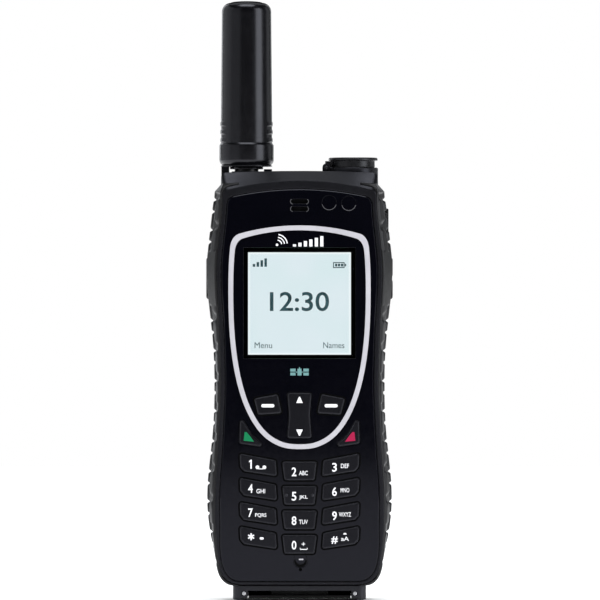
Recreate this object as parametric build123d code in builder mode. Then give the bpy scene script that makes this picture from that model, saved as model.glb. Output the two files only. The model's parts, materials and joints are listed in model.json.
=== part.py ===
from build123d import *
import os
from math import cos, pi, sin

# Handheld satellite phone, modelled as its separate pieces, in millimetres.
# +X is to the user's right, +Y points to the back of the phone, +Z is up.
# The origin is under the middle of the case, on the surface that it stands on.

os.makedirs("parts", exist_ok=True)

# ---------------------------------------------------------------- driving dimensions
# Half widths of the case at each height: (z, hard case, rubber grip over it)
PROFILE = [
    (12.0, 25.9, 26.9),
    (22.6, 26.85, 28.9),
    (33.0, 26.95, 29.7),
    (45.8, 26.2, 28.7),
    (56.0, 25.65, 27.7),
    (67.7, 25.2, 27.35),
    (79.0, 25.35, 27.6),
    (90.0, 25.75, 28.6),
    (106.5, 26.45, 29.85),
    (118.0, 25.4, 28.8),
    (128.0, 24.6, 27.6),
]
HALF_WIDTH = 30.0  # over the side keys

# Depths along Y, front to back
PIP_FRONT = -14.0
KEY_FRONT = -13.9
RING_FRONT = -13.8
PANEL_FRONT = -13.3
RIM_FRONT = -13.0
PANEL_BACK = -11.9
MAT_FRONT = -10.9
MAT_BACK = -10.1
KEYBOARD_FRONT = -8.8
KEYBOARD_BACK = -7.8
SHOULDER_FRONT = -7.5
SEAM = -2.0
SEAM_GAP = 0.8
SHOULDER_BACK = 3.0
SHELL_BACK = 9.5
BATTERY_BACK = 14.0

# Heights
SHOE_TOP = 4.4
FOOT_RECESS = 0.35
CASE_TOP = 137.6
RIM_TOP = 134.4
CAVITY_BOTTOM = 7.5
CAVITY_TOP = 131.0
BATTERY_BOTTOM = 6.2
BATTERY_TOP = 93.0
FIT = 0.1  # gap between pieces that are fixed to each other
KEY_GAP = 0.22
KEY_TRAVEL = 0.45
SIDE_KEY_INNER = 26.0
SIDE_KEY_TRAVEL = 0.7

# Display and front panel
SCREEN_X = 16.9
SCREEN_Z = (78.4, 111.8)
PANEL_MARGIN = 1.45
RING_WIDTH = 1.55
RING_TOP = 120.0
RING_SHOULDER = (22.3, 112.4)
RING_HALF = 22.8
RING_WAIST_Z = 100.0
RING_BOTTOM = 48.3
RING_POWER = 2.45  # exponent of the oval's superellipse

# Keypad
ROW_PITCH = 7.78
KEY_CORNER = 0.7

# Antenna
ANTENNA_X, ANTENNA_Y = -17.1, 3.3
MAST_R = 3.85
MAST_BOTTOM = 95.0
SLEEVE_R = 4.8
COLLAR_R = 8.75
COLLAR_Z = (139.5, 146.8)
RADOME_TOP = 192.6
RUNNING_GAP = 0.08

# Emergency button and its cap
SOS_X, SOS_Y = 17.3, 2.2
SOS_WELL_R = 3.6
SOS_BEZEL_R = 8.05
SOS_BEZEL_Z = (136.0, 138.8)
SOS_HINGE = (8.6, 138.9)

# Side keys and sockets
SIDE_ZONE = (96.2, 110.0)
SIDE_KEY_Y = (-6.4, 2.4)
JACK_Y, JACK_Z = 2.6, 121.0
JACK_BORE_R = 1.25
JACK_R = 3.1
FLAP_X = (27.2, 28.7)
FLAP_HALF_Y = 4.0
FLAP_HALF_Z = 4.6
FLAP_ROOM = 0.4  # clearance round the flap in the grip
FLAP_BARREL_R = 0.6
PORT_COVER_FRONT = -10.5
PORT_HINGE = (6.6, 1.5)
PORT_WIDTH = 16.7  # half width of the recess for the port cover
PORT_BARREL_R = 1.05
HINGE_PIN_R, HINGE_BORE_R = 0.5, 0.56
HINGE_PIN_X = 18.0
CONNECTOR_Z = (3.2, 11.2)
POWER_JACK = (5.4, -4.9)

# Small features of the front panel
EARPIECE_Z = 126.5
EARPIECE_SLOTS = (127.7, 125.3)
WINDOWS = [(9.5, 127.3), (15.8, 127.1)]
WINDOW_R = 2.3
MIC_X, MIC_Z = 0.3, 9.9
KEY5_PIPS = (-4.2, 4.2)
PIP_R = 0.35

# Base shoe and its latch pins
SHOE_X, SHOE_Y = 21.4, (-10.8, 8.4)
LATCH_PIN_X, LATCH_PIN_Z, LATCH_PIN_R = (-17.8, 17.8), 1.9, 0.6

# Power button
POWER_X, POWER_Y = 1.0, 3.2


# ---------------------------------------------------------------- helpers
def facing(y):
    """Sketch plane at depth y that looks at the front, so extrusions go to -Y."""
    return Plane.XZ.offset(-y)


def save(part, name):
    """Label a finished piece and write its STEP file."""
    part.label = name
    export_step(part, f"parts/{name}.step")


def column(which, shift=0.0):
    """Side points (x, z) of one column of PROFILE, moved outwards by shift."""
    return [(row[which] + shift, row[0]) for row in PROFILE]


def mirrored_outline(side, bottom, bottom_x, top, top_x, drop, round_top=True):
    """Closed outline from its right side points, a flat bottom and an arched top."""
    first, last = side[0], side[-1]
    shoulder = (top_x, top - drop)
    corner_z = shoulder[1] - 2 * drop / top_x * (last[0] - top_x)
    with BuildSketch(mode=Mode.PRIVATE) as outline:
        with BuildLine():
            Line((0, bottom), (bottom_x, bottom))
            Bezier((bottom_x, bottom), (first[0] - 0.6, bottom), first)
            Spline(*side, tangents=[(0.15, 1), (-0.05, 1)])
            if round_top:
                Bezier(last, (last[0] - 0.05, corner_z), shoulder)
            else:
                Line(last, shoulder)
            Bezier(shoulder, (top_x / 2, top), (0, top))
            mirror(about=Plane.YZ)
        make_face()
    return outline.sketch


def case_outline(shift, bottom=SHOE_TOP, bottom_x=18.0, top=CASE_TOP, end=135.6, drop=0.5):
    """Outline of the hard case: shift moves its sides, top and end set the top edge."""
    side = column(1, shift) + [(24.6 + shift, end)]
    return mirrored_outline(side, bottom, bottom_x, top, 22.8 + shift, drop)


def lofted(stations):
    """Solid through (y, sketch) stations, with straight walls between them."""
    with BuildPart(mode=Mode.PRIVATE) as body:
        for near, far in zip(stations, stations[1:]):
            with BuildSketch(facing(near[0])):
                add(near[1])
            with BuildSketch(facing(far[0])):
                add(far[1])
            loft(ruled=True)
    return body.part


def prism(sketch, y_front, y_back):
    """Solid of a front-view sketch between two depths."""
    with BuildPart(mode=Mode.PRIVATE) as body:
        with BuildSketch(facing(y_back)):
            add(sketch)
        extrude(amount=y_back - y_front)
    return body.part


def block(x, y, z):
    """Box between the pairs x, y and z."""
    size = [pair[1] - pair[0] for pair in (x, y, z)]
    centre = [(pair[1] + pair[0]) / 2 for pair in (x, y, z)]
    return Pos(*centre) * Box(*size, mode=Mode.PRIVATE)


def rod_y(x, z, radius, y_front, y_back):
    """Cylinder along Y."""
    middle = (y_front + y_back) / 2
    return Pos(x, middle, z) * Rot(90, 0, 0) * Cylinder(radius, y_back - y_front, mode=Mode.PRIVATE)


def rod_z(x, y, radius, z_low, z_high):
    """Cylinder along Z."""
    return Pos(x, y, (z_low + z_high) / 2) * Cylinder(radius, z_high - z_low, mode=Mode.PRIVATE)


def rod_x(y, z, radius, x_low, x_high):
    """Cylinder along X."""
    length, middle = x_high - x_low, (x_low + x_high) / 2
    return Pos(middle, y, z) * Rot(0, 90, 0) * Cylinder(radius, length, mode=Mode.PRIVATE)


def turned(x, y, profile):
    """Solid turned about the vertical line at (x, y) from (radius, z) points."""
    with BuildPart(mode=Mode.PRIVATE) as body:
        with BuildSketch(Plane(origin=(x, y, 0), x_dir=(1, 0, 0), z_dir=(0, -1, 0))):
            with BuildLine():
                Polyline(*profile, close=True)
            make_face()
        revolve(axis=Axis((x, y, 0), (0, 0, 1)))
    return body.part


def rounded_polygon(points, radius=KEY_CORNER):
    """Polygon sketch with rounded corners."""
    with BuildSketch(mode=Mode.PRIVATE) as shape:
        with BuildLine():
            Polyline(*points, close=True)
        make_face()
        fillet(shape.vertices(), radius)
    return shape.sketch


def flipped(points):
    """The same polygon on the other side of the phone."""
    return [(-x, z) for x, z in reversed(points)]


# ---------------------------------------------------------------- outlines
RIM_OUTLINE = case_outline(0.0, SHOE_TOP + 0.5, 18.0, RIM_TOP, 129.2, 2.9)
BODY_OUTLINE = case_outline(0.6)
BACK_OUTLINE = case_outline(-2.4, SHOE_TOP + 2.6, 16.0, CASE_TOP - 3.0, 132.0, 1.0)


def panel_outline(grow=0.0):
    """Outline of the glossy front panel, or of the recess that holds it."""
    side = [(x, z) for x, z in column(1, grow - PANEL_MARGIN) if 15.0 < z < 119.0]
    side = [(25.2 + grow, 14.5)] + side + [(23.2 + grow, 126.6)]
    return mirrored_outline(side, 6.0 - grow, 18.5, 131.6 + grow, 20.8, 2.2)


def oval(inset):
    """The trim ring's outline, moved inwards by inset."""
    half, waist = RING_HALF - inset, RING_WAIST_Z
    low, top = waist - RING_BOTTOM - inset, RING_TOP - inset
    shoulder_x, shoulder_z = RING_SHOULDER
    shoulder = (shoulder_x - inset, shoulder_z - 0.4 * inset)
    crown = (19.5 - 0.7 * inset, top - 2.7)
    turns = [pi / 2 * step / 8 for step in range(9)]
    side = [(half * cos(t) ** (2 / RING_POWER), waist - low * sin(t) ** (2 / RING_POWER)) for t in turns]
    with BuildSketch(mode=Mode.PRIVATE) as shape:
        with BuildLine():
            Spline(shoulder, *side, tangents=[(0.1, -1), (-1, 0)])
            Bezier(shoulder, (22.0 - inset, 116.3 - inset), crown)
            Bezier(crown, (10.0, top), (0, top))
            mirror(about=Plane.YZ)
        make_face()
    return shape.sketch


# Key shapes, as (x, z) corners seen from the front
def left_key(row):
    """A sloping key of the left column, with its lower outer corner cut."""
    drop = ROW_PITCH * row
    corners = [(-19.2, 46.9), (-7.6, 44.7), (-7.2, 39.6), (-17.8, 41.2), (-19.0, 42.7)]
    return [(x, z - drop) for x, z in corners]


def middle_key(row):
    """A key of the middle column, narrower at its foot."""
    drop = (ROW_PITCH + 0.06) * row
    corners = [(-5.6, 44.3), (5.6, 44.3), (4.8, 38.3), (-4.8, 38.3)]
    return [(x, z - drop) for x, z in corners]


SOFTKEY = [(-14.6, 64.5), (-7.0, 65.9), (-5.7, 59.8), (-13.3, 59.3)]
NAV_KEY = [(-3.9, 66.3), (3.9, 66.3), (3.3, 59.0), (3.9, 51.8), (-3.9, 51.8), (-3.3, 59.0)]
CALL_KEY = [(-19.1, 57.4), (-18.0, 57.4), (-15.4, 53.0), (-10.7, 48.8), (-19.3, 50.1)]

KEYS = {
    "softkey_left": (SOFTKEY, (-10.2, 62.4)),
    "softkey_right": (flipped(SOFTKEY), (10.2, 62.4)),
    "nav_key": (NAV_KEY, (0.0, 59.0)),
    "call_key": (CALL_KEY, (-16.5, 51.8)),
    "end_key": (flipped(CALL_KEY), (16.5, 51.8)),
}
ROW_NAMES = [("1", "2", "3"), ("4", "5", "6"), ("7", "8", "9"), ("star", "0", "hash")]
for row, names in enumerate(ROW_NAMES):
    fall = ROW_PITCH * row
    KEYS[f"key_{names[0]}"] = (left_key(row), (-13.2, 43.1 - fall))
    KEYS[f"key_{names[1]}"] = (middle_key(row), (0.0, 41.3 - fall))
    KEYS[f"key_{names[2]}"] = (flipped(left_key(row)), (13.2, 43.1 - fall))

PLUNGER_R = 1.3
FLANGE = 0.5
FLANGE_DEPTH = 0.45
DOME_R, DOME_RISE = 2.2, 0.35


# ---------------------------------------------------------------- case
CORE = lofted([
    (RIM_FRONT, RIM_OUTLINE),
    (SHOULDER_FRONT, BODY_OUTLINE),
    (SHOULDER_BACK, BODY_OUTLINE),
    (SHELL_BACK, BACK_OUTLINE),
])


def grip_outline(shift, bottom_x=20.5):
    """Outline of the grips' outer surface, with a sloped end at the top."""
    side = column(2, shift) + [(27.3 + shift, 130.9)]
    return mirrored_outline(side, SHOE_TOP, bottom_x, 134.2, 24.9 + min(shift, 0), 0.6, False)


def grip_front_outline():
    """Outline of the grips' front edge, just proud of the case."""
    side = column(1, 0.75) + [(25.4, 130.9)]
    return mirrored_outline(side, SHOE_TOP, 20.5, 134.2, 24.4, 0.6, False)


GRIPPED = lofted([
    (RIM_FRONT + 0.8, grip_front_outline()),
    (SHOULDER_FRONT, grip_outline(0.0)),
    (SHOULDER_BACK - 0.5, grip_outline(0.0)),
    (SHELL_BACK - 0.5, grip_outline(-3.3, 18.5)),
])

CAVITY = prism(
    case_outline(-2.6, CAVITY_BOTTOM, 16.0, CAVITY_TOP, 126.0, 2.0), MAT_BACK - 0.3, SHOULDER_BACK - 1.2
)
REAR_ROOM = block((-21.0, 21.0), (SHOULDER_BACK - 2.0, SHELL_BACK - 2.0), (BATTERY_TOP + 3.0, CAVITY_TOP - 1.0))
BAY = block((-21.4, 21.4), (SHOULDER_BACK + 0.7, 40.0), (9.4, BATTERY_TOP - 1.4))
BATTERY_CUT = block((-40.0, 40.0), (SHELL_BACK - 1.0, 40.0), (-1.0, BATTERY_TOP + 0.2))

SCREW_SPOTS = [(-9.0, 131.0), (9.0, 131.0), (-18.4, 9.9), (18.4, 9.9), (-18.4, 86.0), (18.4, 86.0)]
TOP_SCREWS = SCREW_SPOTS[:2]
SCREW_HEAD_R, SCREW_SHAFT_R = 1.9, 1.0
SCREW_HEAD = 1.2
SCREW_END = SEAM - 3.5
BOSS_R = 2.6


def screw_seat(spot):
    """Depth of the face that a screw's head rests on."""
    return SHELL_BACK - 1.6 if spot in TOP_SCREWS else SHOULDER_BACK - 0.6


# Everything that passes through the case from the top or the sides
antenna_bore = rod_z(ANTENNA_X, ANTENNA_Y, SLEEVE_R, MAST_BOTTOM - 1.6, CASE_TOP + 5)
sos_pocket = rod_z(SOS_X, SOS_Y, SOS_BEZEL_R, SOS_BEZEL_Z[0], CASE_TOP + 5)
sos_well = rod_z(SOS_X, SOS_Y, SOS_WELL_R, CAVITY_TOP - 3, SOS_BEZEL_Z[0] + 1)
power_well = rod_z(POWER_X, POWER_Y, 3.4, CAVITY_TOP - 3, CASE_TOP + 1)
jack_well = rod_x(JACK_Y, JACK_Z, JACK_R + FIT, 10.0, 40.0)
port_well = block((-9.2, 8.2), (-7.2, -2.6), (SHOE_TOP - 1, CAVITY_BOTTOM + 1))
side_floor = SIDE_KEY_INNER - SIDE_KEY_TRAVEL - 0.1
side_z = (SIDE_ZONE[0] - 0.2, SIDE_ZONE[1] + 0.2)
side_wells = [block(reach, SIDE_KEY_Y, side_z) for reach in ((-40.0, -side_floor), (side_floor, 40.0))]
PASSAGES = [antenna_bore, sos_pocket, sos_well, power_well, jack_well, port_well, *side_wells]

boss_holes = [rod_y(x, z, SCREW_SHAFT_R + 0.02, SCREW_END - 0.5, SHELL_BACK) for x, z in SCREW_SPOTS]
CONTACT_X = (-6.0, -2.0, 2.0, 6.0)
CONTACT_Y = (1.3, SHOULDER_BACK + 0.75)
CONTACT_Z = (12.0, 16.0)
contacts = [block((x - 0.9, x + 0.9), CONTACT_Y, CONTACT_Z) for x in CONTACT_X]

KEY_WINDOW = rounded_polygon([(-20.6, 58.6), (20.6, 58.6), (20.6, 12.4), (-20.6, 12.4)], 2.0)
SOFT_WINDOW = rounded_polygon([(-16.6, 68.0), (16.6, 68.0), (16.6, 58.0), (-16.6, 58.0)], 2.0)
SCREEN_LOW, SCREEN_HIGH = SCREEN_Z
GLASS_X, GLASS_Z = SCREEN_X + 1.1, (SCREEN_LOW - 1.1, SCREEN_HIGH + 1.1)

with BuildPart() as front_cover:
    add(CORE)
    with BuildSketch(facing(SEAM - SEAM_GAP / 2)):
        Rectangle(100, 400)
    extrude(amount=-60, mode=Mode.SUBTRACT)
    with BuildSketch(facing(PANEL_BACK)):
        add(panel_outline(0.25))
    extrude(amount=10, mode=Mode.SUBTRACT)
    add(CAVITY, mode=Mode.SUBTRACT)
    for x, z in SCREW_SPOTS:
        end = SEAM - SEAM_GAP / 2 if (x, z) in TOP_SCREWS else SHOULDER_BACK - 1.3
        add(rod_y(x, z, BOSS_R, PANEL_BACK + 0.5, end))
    with BuildSketch(facing(MAT_BACK - 0.3)):
        add(KEY_WINDOW)
        add(SOFT_WINDOW)
    extrude(amount=10, mode=Mode.SUBTRACT)
    add(block((-GLASS_X, GLASS_X), (-20, MAT_BACK), GLASS_Z), mode=Mode.SUBTRACT)
    add(rod_y(0, EARPIECE_Z, 4.4, -20, 0), mode=Mode.SUBTRACT)
    for x, z in WINDOWS:
        add(rod_y(x, z, 1.5, -20, MAT_BACK), mode=Mode.SUBTRACT)
    add(rod_y(MIC_X, MIC_Z, 0.8, -20, MAT_BACK), mode=Mode.SUBTRACT)
    add(PASSAGES, mode=Mode.SUBTRACT)
    add(boss_holes, mode=Mode.SUBTRACT)
save(front_cover.part, "front_cover")

horns = [
    block((-25.2, -22.7), (0.2, 6.4), (CASE_TOP - 2.5, 139.1)),
    block((-11.5, -8.9), (0.2, 6.4), (CASE_TOP - 2.5, 138.3)),
]
LATCH_Z = (94.6, 100.6)
LATCH_TRAVEL = 3.0
latch_pocket = block((-6.3, 6.3), (SHELL_BACK - 1.5, 40.0), (LATCH_Z[0] - 0.3, LATCH_Z[1] + LATCH_TRAVEL + 0.3))
latch_gate = block((-3.3, 3.3), (SHELL_BACK - 1.5, 40.0), (BATTERY_TOP - 1.0, LATCH_Z[0]))

with BuildPart() as rear_cover:
    add(CORE)
    with BuildSketch(facing(SEAM + SEAM_GAP / 2)):
        Rectangle(100, 400)
    extrude(amount=60, mode=Mode.SUBTRACT)
    add(CAVITY, mode=Mode.SUBTRACT)
    add(REAR_ROOM, mode=Mode.SUBTRACT)
    add(BATTERY_CUT, mode=Mode.SUBTRACT)
    add(BAY, mode=Mode.SUBTRACT)
    for horn in horns:
        add(horn)
    for x, z in TOP_SCREWS:
        add(rod_y(x, z, BOSS_R, SEAM + SEAM_GAP / 2, SHELL_BACK - 1.0))
    for x, z in SCREW_SPOTS:
        seat = screw_seat((x, z))
        add(rod_y(x, z, SCREW_HEAD_R + 0.2, seat, SHELL_BACK + 5), mode=Mode.SUBTRACT)
        if (x, z) not in TOP_SCREWS:
            add(rod_y(x, z, BOSS_R + FIT, -10, SHOULDER_BACK - 1.25), mode=Mode.SUBTRACT)
    with BuildSketch(facing(SHELL_BACK + 1)):
        with Locations(*[(0, 109.0 + 3.0 * step) for step in range(5)]):
            SlotOverall(15.0, 1.3)
    extrude(amount=5, mode=Mode.SUBTRACT)
    add([latch_pocket, latch_gate], mode=Mode.SUBTRACT)
    add(contacts, mode=Mode.SUBTRACT)
    add(PASSAGES, mode=Mode.SUBTRACT)
    add(boss_holes, mode=Mode.SUBTRACT)
save(rear_cover.part, "rear_cover")

with BuildPart() as housing_gasket:
    with BuildSketch(facing(SEAM + SEAM_GAP / 2)):
        add(case_outline(0.6 - 0.1, SHOE_TOP + 0.1, 18.0, CASE_TOP - 0.1, 135.5, 0.5))
        add(case_outline(-2.6, CAVITY_BOTTOM, 16.0, CAVITY_TOP, 126.0, 2.0), mode=Mode.SUBTRACT)
    extrude(amount=SEAM_GAP)
    add(PASSAGES, mode=Mode.SUBTRACT)
    for x, z in SCREW_SPOTS:
        add(rod_y(x, z, BOSS_R + 0.1, -10, 10), mode=Mode.SUBTRACT)
save(housing_gasket.part, "housing_gasket")

# ---------------------------------------------------------------- rubber grips
FLAP_Z = (JACK_Z - FLAP_HALF_Z, JACK_Z + FLAP_HALF_Z)
FLAP_Y = (JACK_Y - FLAP_HALF_Y, JACK_Y + FLAP_HALF_Y)
for side, name in ((-1, "left_grip"), (1, "right_grip")):
    reach = (19.5, 40.0) if side > 0 else (-40.0, -19.5)
    outer = (20.0, 40.0) if side > 0 else (-40.0, -20.0)
    with BuildPart() as grip:
        add(GRIPPED)
        add(block(reach, (-20.0, 20.0), (SHOE_TOP, 140.0)), mode=Mode.INTERSECT)
        add(CORE, mode=Mode.SUBTRACT)
        add(BATTERY_CUT, mode=Mode.SUBTRACT)
        add(PASSAGES, mode=Mode.SUBTRACT)
        if side > 0:
            room_y = (FLAP_Y[0] - FLAP_ROOM, FLAP_Y[1] + FLAP_ROOM)
            room_z = (FLAP_Z[0] - FLAP_ROOM, FLAP_Z[1] + FLAP_ROOM)
            add(block((FLAP_X[0] - 0.3, 40.0), room_y, room_z), mode=Mode.SUBTRACT)
    save(grip.part, name)

# ---------------------------------------------------------------- front panel
with BuildPart() as fascia:
    add(lofted([(PANEL_FRONT, panel_outline(-0.25)), (PANEL_FRONT + 0.25, panel_outline()),
                (PANEL_BACK, panel_outline())]))
    with BuildSketch(facing(RING_FRONT + 1.1)):
        add(oval(0.0))
        add(oval(RING_WIDTH), mode=Mode.SUBTRACT)
    extrude(amount=5, mode=Mode.SUBTRACT)
    add(block((-GLASS_X, GLASS_X), (-20, 0), GLASS_Z), mode=Mode.SUBTRACT)
    with BuildSketch(facing(0)):
        for corners, plunger in KEYS.values():
            with BuildSketch(mode=Mode.PRIVATE) as opening:
                add(rounded_polygon(corners))
                offset(amount=KEY_GAP, mode=Mode.REPLACE)
            add(opening.sketch)
        with Locations(*[(0, z) for z in EARPIECE_SLOTS]):
            SlotOverall(5.6, 1.5)
        with Locations(*WINDOWS):
            Circle(WINDOW_R)
        with Locations((MIC_X, MIC_Z - 0.2)):
            Circle(0.5)
    extrude(amount=30, mode=Mode.SUBTRACT)
    with BuildSketch(facing(PANEL_FRONT + 0.5)):
        with Locations((MIC_X, MIC_Z + 2.7)):
            Circle(2.4)
        with Locations((MIC_X, MIC_Z + 3.6)):
            Circle(1.9, mode=Mode.SUBTRACT)
    extrude(amount=5, mode=Mode.SUBTRACT)
save(fascia.part, "fascia")

with BuildPart() as fascia_windows:
    for x, z in WINDOWS:
        add(rod_y(x, z, WINDOW_R, PANEL_FRONT + 0.1, PANEL_BACK))
save(fascia_windows.part, "fascia_windows")

with BuildPart() as trim_ring:
    with BuildSketch(facing(RING_FRONT + 1.1)):
        add(oval(0.0))
        add(oval(RING_WIDTH), mode=Mode.SUBTRACT)
    extrude(amount=1.1)
save(trim_ring.part, "trim_ring")

with BuildPart() as display_lens:
    add(block((-GLASS_X, GLASS_X), (PANEL_FRONT + 0.05, PANEL_FRONT + 1.0), GLASS_Z))
save(display_lens.part, "display_lens")

with BuildPart() as lcd_panel:
    frame_x, frame_z = GLASS_X - 0.1, (GLASS_Z[0] + 0.1, GLASS_Z[1] - 0.1)
    add(block((-frame_x, frame_x), (PANEL_FRONT + 1.15, MAT_BACK), frame_z))
save(lcd_panel.part, "lcd_panel")

# ---------------------------------------------------------------- keypad
for name, (corners, plunger) in KEYS.items():
    with BuildPart() as key:
        add(prism(rounded_polygon(corners), KEY_FRONT, PANEL_BACK))
        fillet(key.faces().sort_by(Axis.Y)[0].edges(), 0.4)
        with BuildSketch(facing(PANEL_BACK + FLANGE_DEPTH)):
            add(rounded_polygon(corners))
            offset(amount=FLANGE)
        extrude(amount=FLANGE_DEPTH)
        add(rod_y(*plunger, PLUNGER_R, PANEL_BACK, KEYBOARD_FRONT - DOME_RISE - KEY_TRAVEL - 0.1))
        if name == "key_5":
            for x in KEY5_PIPS:
                add(rod_y(x, plunger[1], PIP_R, PIP_FRONT, PANEL_FRONT))
    save(key.part, name)

with BuildPart() as keypad_mat:
    with BuildSketch(facing(MAT_BACK)):
        for window in (KEY_WINDOW, SOFT_WINDOW):
            add(window)
        offset(amount=-FIT)
        with Locations(*[plunger for corners, plunger in KEYS.values()]):
            Circle(PLUNGER_R + 0.3, mode=Mode.SUBTRACT)
    extrude(amount=MAT_BACK - MAT_FRONT)
save(keypad_mat.part, "keypad_mat")

with BuildPart() as keypad_board:
    with BuildSketch(facing(KEYBOARD_BACK)):
        with Locations((0, 40.2)):
            RectangleRounded(35.6, 54.6, 2.0)
    extrude(amount=KEYBOARD_BACK - KEYBOARD_FRONT)
save(keypad_board.part, "keypad_board")

with BuildPart() as dome_contacts:
    for corners, (x, z) in KEYS.values():
        add(rod_y(x, z, DOME_R - 0.6, KEYBOARD_FRONT - DOME_RISE, KEYBOARD_FRONT))
save(dome_contacts.part, "dome_contacts")

# ---------------------------------------------------------------- inside
with BuildPart() as main_board:
    with BuildSketch(facing(-5.4)):
        with Locations((0, 64.5)):
            Rectangle(31.0, 106.4)
    extrude(amount=1.0)
save(main_board.part, "main_board")

with BuildPart() as shield_cans:
    for z_low, z_high in ((20.0, 44.0), (47.0, 70.0), (73.0, 86.0)):
        add(block((-14.0, 14.0), (-5.4, -3.2), (z_low, z_high)))
save(shield_cans.part, "shield_cans")

with BuildPart() as earpiece:
    add(rod_y(0, EARPIECE_Z, 4.2, PANEL_BACK + 0.1, MAT_BACK + 1.6))
save(earpiece.part, "earpiece")

with BuildPart() as microphone:
    add(rod_y(MIC_X, MIC_Z, 1.8, MAT_BACK - 0.2, MAT_BACK + 1.2))
save(microphone.part, "microphone")

with BuildPart() as loudspeaker:
    add(rod_y(0, 115.0, 9.0, 3.4, SHELL_BACK - 2.1))
save(loudspeaker.part, "loudspeaker")

with BuildPart() as battery_contacts:
    add(contacts)
save(battery_contacts.part, "battery_contacts")

# ---------------------------------------------------------------- antenna
with BuildPart() as antenna_sleeve:
    tube = [(MAST_R + RUNNING_GAP, MAST_BOTTOM - 1.5), (SLEEVE_R, MAST_BOTTOM - 1.5),
            (SLEEVE_R, CASE_TOP), (MAST_R + RUNNING_GAP, CASE_TOP)]
    add(turned(ANTENNA_X, ANTENNA_Y, tube))
save(antenna_sleeve.part, "antenna_sleeve")

with BuildPart() as antenna_mast:
    tube = [(MAST_R - 1.0, MAST_BOTTOM), (MAST_R, MAST_BOTTOM), (MAST_R, COLLAR_Z[1] + 6),
            (MAST_R - 1.0, COLLAR_Z[1] + 6)]
    add(turned(ANTENNA_X, ANTENNA_Y, tube))
save(antenna_mast.part, "antenna_mast")

with BuildPart() as antenna_collar:
    low, high = COLLAR_Z
    profile = [(MAST_R, low), (COLLAR_R - 1.6, low), (COLLAR_R, low + 1.2), (COLLAR_R, high - 0.5),
               (COLLAR_R - 0.4, high), (MAST_R, high)]
    add(turned(ANTENNA_X, ANTENNA_Y, profile))
save(antenna_collar.part, "antenna_collar")

RADOME_R, RADOME_TIP_R, RIB_R = 8.25, 7.95, 8.45
RIB_HEIGHTS = (147.7, 150.3, 152.9)
with BuildPart() as antenna_radome:
    with BuildSketch(Plane(origin=(ANTENNA_X, ANTENNA_Y, 0), x_dir=(1, 0, 0), z_dir=(0, -1, 0))):
        with BuildLine():
            base = COLLAR_Z[1]
            Polyline((0, 189.6), (0, RADOME_TOP), (3.0, RADOME_TOP))
            Bezier((3.0, RADOME_TOP), (7.4, RADOME_TOP - 0.1), (RADOME_TIP_R, RADOME_TOP - 3.6))
            Polyline((RADOME_TIP_R, RADOME_TOP - 3.6), (RADOME_R, 154.6), (RADOME_R, base),
                     (MAST_R, base), (MAST_R, 153.0), (6.4, 153.0), (6.4, 186.0), (0, 189.6))
        make_face()
        for z in RIB_HEIGHTS:
            with Locations((RADOME_R - 0.4, z)):
                Rectangle(2 * (RIB_R - RADOME_R + 0.4), 1.3)
    revolve(axis=Axis((ANTENNA_X, ANTENNA_Y, 0), (0, 0, 1)))
save(antenna_radome.part, "antenna_radome")

with BuildPart() as antenna_core:
    add(rod_z(ANTENNA_X, ANTENNA_Y, 5.6, COLLAR_Z[1] + 6.3, 185.0))
save(antenna_core.part, "antenna_core")

# ---------------------------------------------------------------- emergency button
low, high = SOS_BEZEL_Z
with BuildPart() as sos_bezel:
    ring = [(SOS_WELL_R, low), (SOS_BEZEL_R, low), (SOS_BEZEL_R, high - 0.3), (SOS_BEZEL_R - 0.3, high),
            (SOS_WELL_R, high)]
    add(turned(SOS_X, SOS_Y, ring))
    hinge_x, hinge_z = SOS_HINGE
    for y in (SOS_Y - 3.2, SOS_Y + 3.2):
        add(rod_y(hinge_x, hinge_z, 1.2, y - 1.0, y + 1.0))
        add(block((hinge_x - 1.2, hinge_x + 2.0), (y - 1.0, y + 1.0), (CASE_TOP + 0.05, hinge_z)))
    add(rod_y(hinge_x, hinge_z, 1.6, SOS_Y - 2.2, SOS_Y + 2.2), mode=Mode.SUBTRACT)
    add(rod_y(hinge_x, hinge_z, HINGE_PIN_R, -20, 20), mode=Mode.SUBTRACT)
save(sos_bezel.part, "sos_bezel")

with BuildPart() as sos_cover:
    cap = [(0, 140.9), (5.6, 140.9), (5.6, high + 0.2), (7.0, high + 0.2), (7.0, 140.9),
           (7.9, 141.1), (7.9, 141.7), (7.6, 142.0), (0, 142.0)]
    add(turned(SOS_X, SOS_Y, cap))
    add(rod_y(hinge_x, hinge_z, 1.2, SOS_Y - 2.0, SOS_Y + 2.0))
    add(block((hinge_x - 0.3, 11.5), (SOS_Y - 2.0, SOS_Y + 2.0), (high + 0.2, 140.9)))
    add(rod_y(hinge_x, hinge_z, HINGE_BORE_R, -20, 20), mode=Mode.SUBTRACT)
save(sos_cover.part, "sos_cover")

with BuildPart() as sos_hinge_pin:
    add(rod_y(hinge_x, hinge_z, HINGE_PIN_R, SOS_Y - 4.2, SOS_Y + 4.2))
save(sos_hinge_pin.part, "sos_hinge_pin")

with BuildPart() as sos_button:
    stem = [(0, 133.5), (3.4, 133.5), (3.4, 139.4), (3.0, 139.8), (0, 140.0)]
    add(turned(SOS_X, SOS_Y, stem))
save(sos_button.part, "sos_button")

with BuildPart() as power_button:
    add(turned(POWER_X, POWER_Y, [(0, 134.0), (3.2, 134.0), (3.2, 137.1), (2.9, 137.4), (0, 137.5)]))
save(power_button.part, "power_button")


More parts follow.
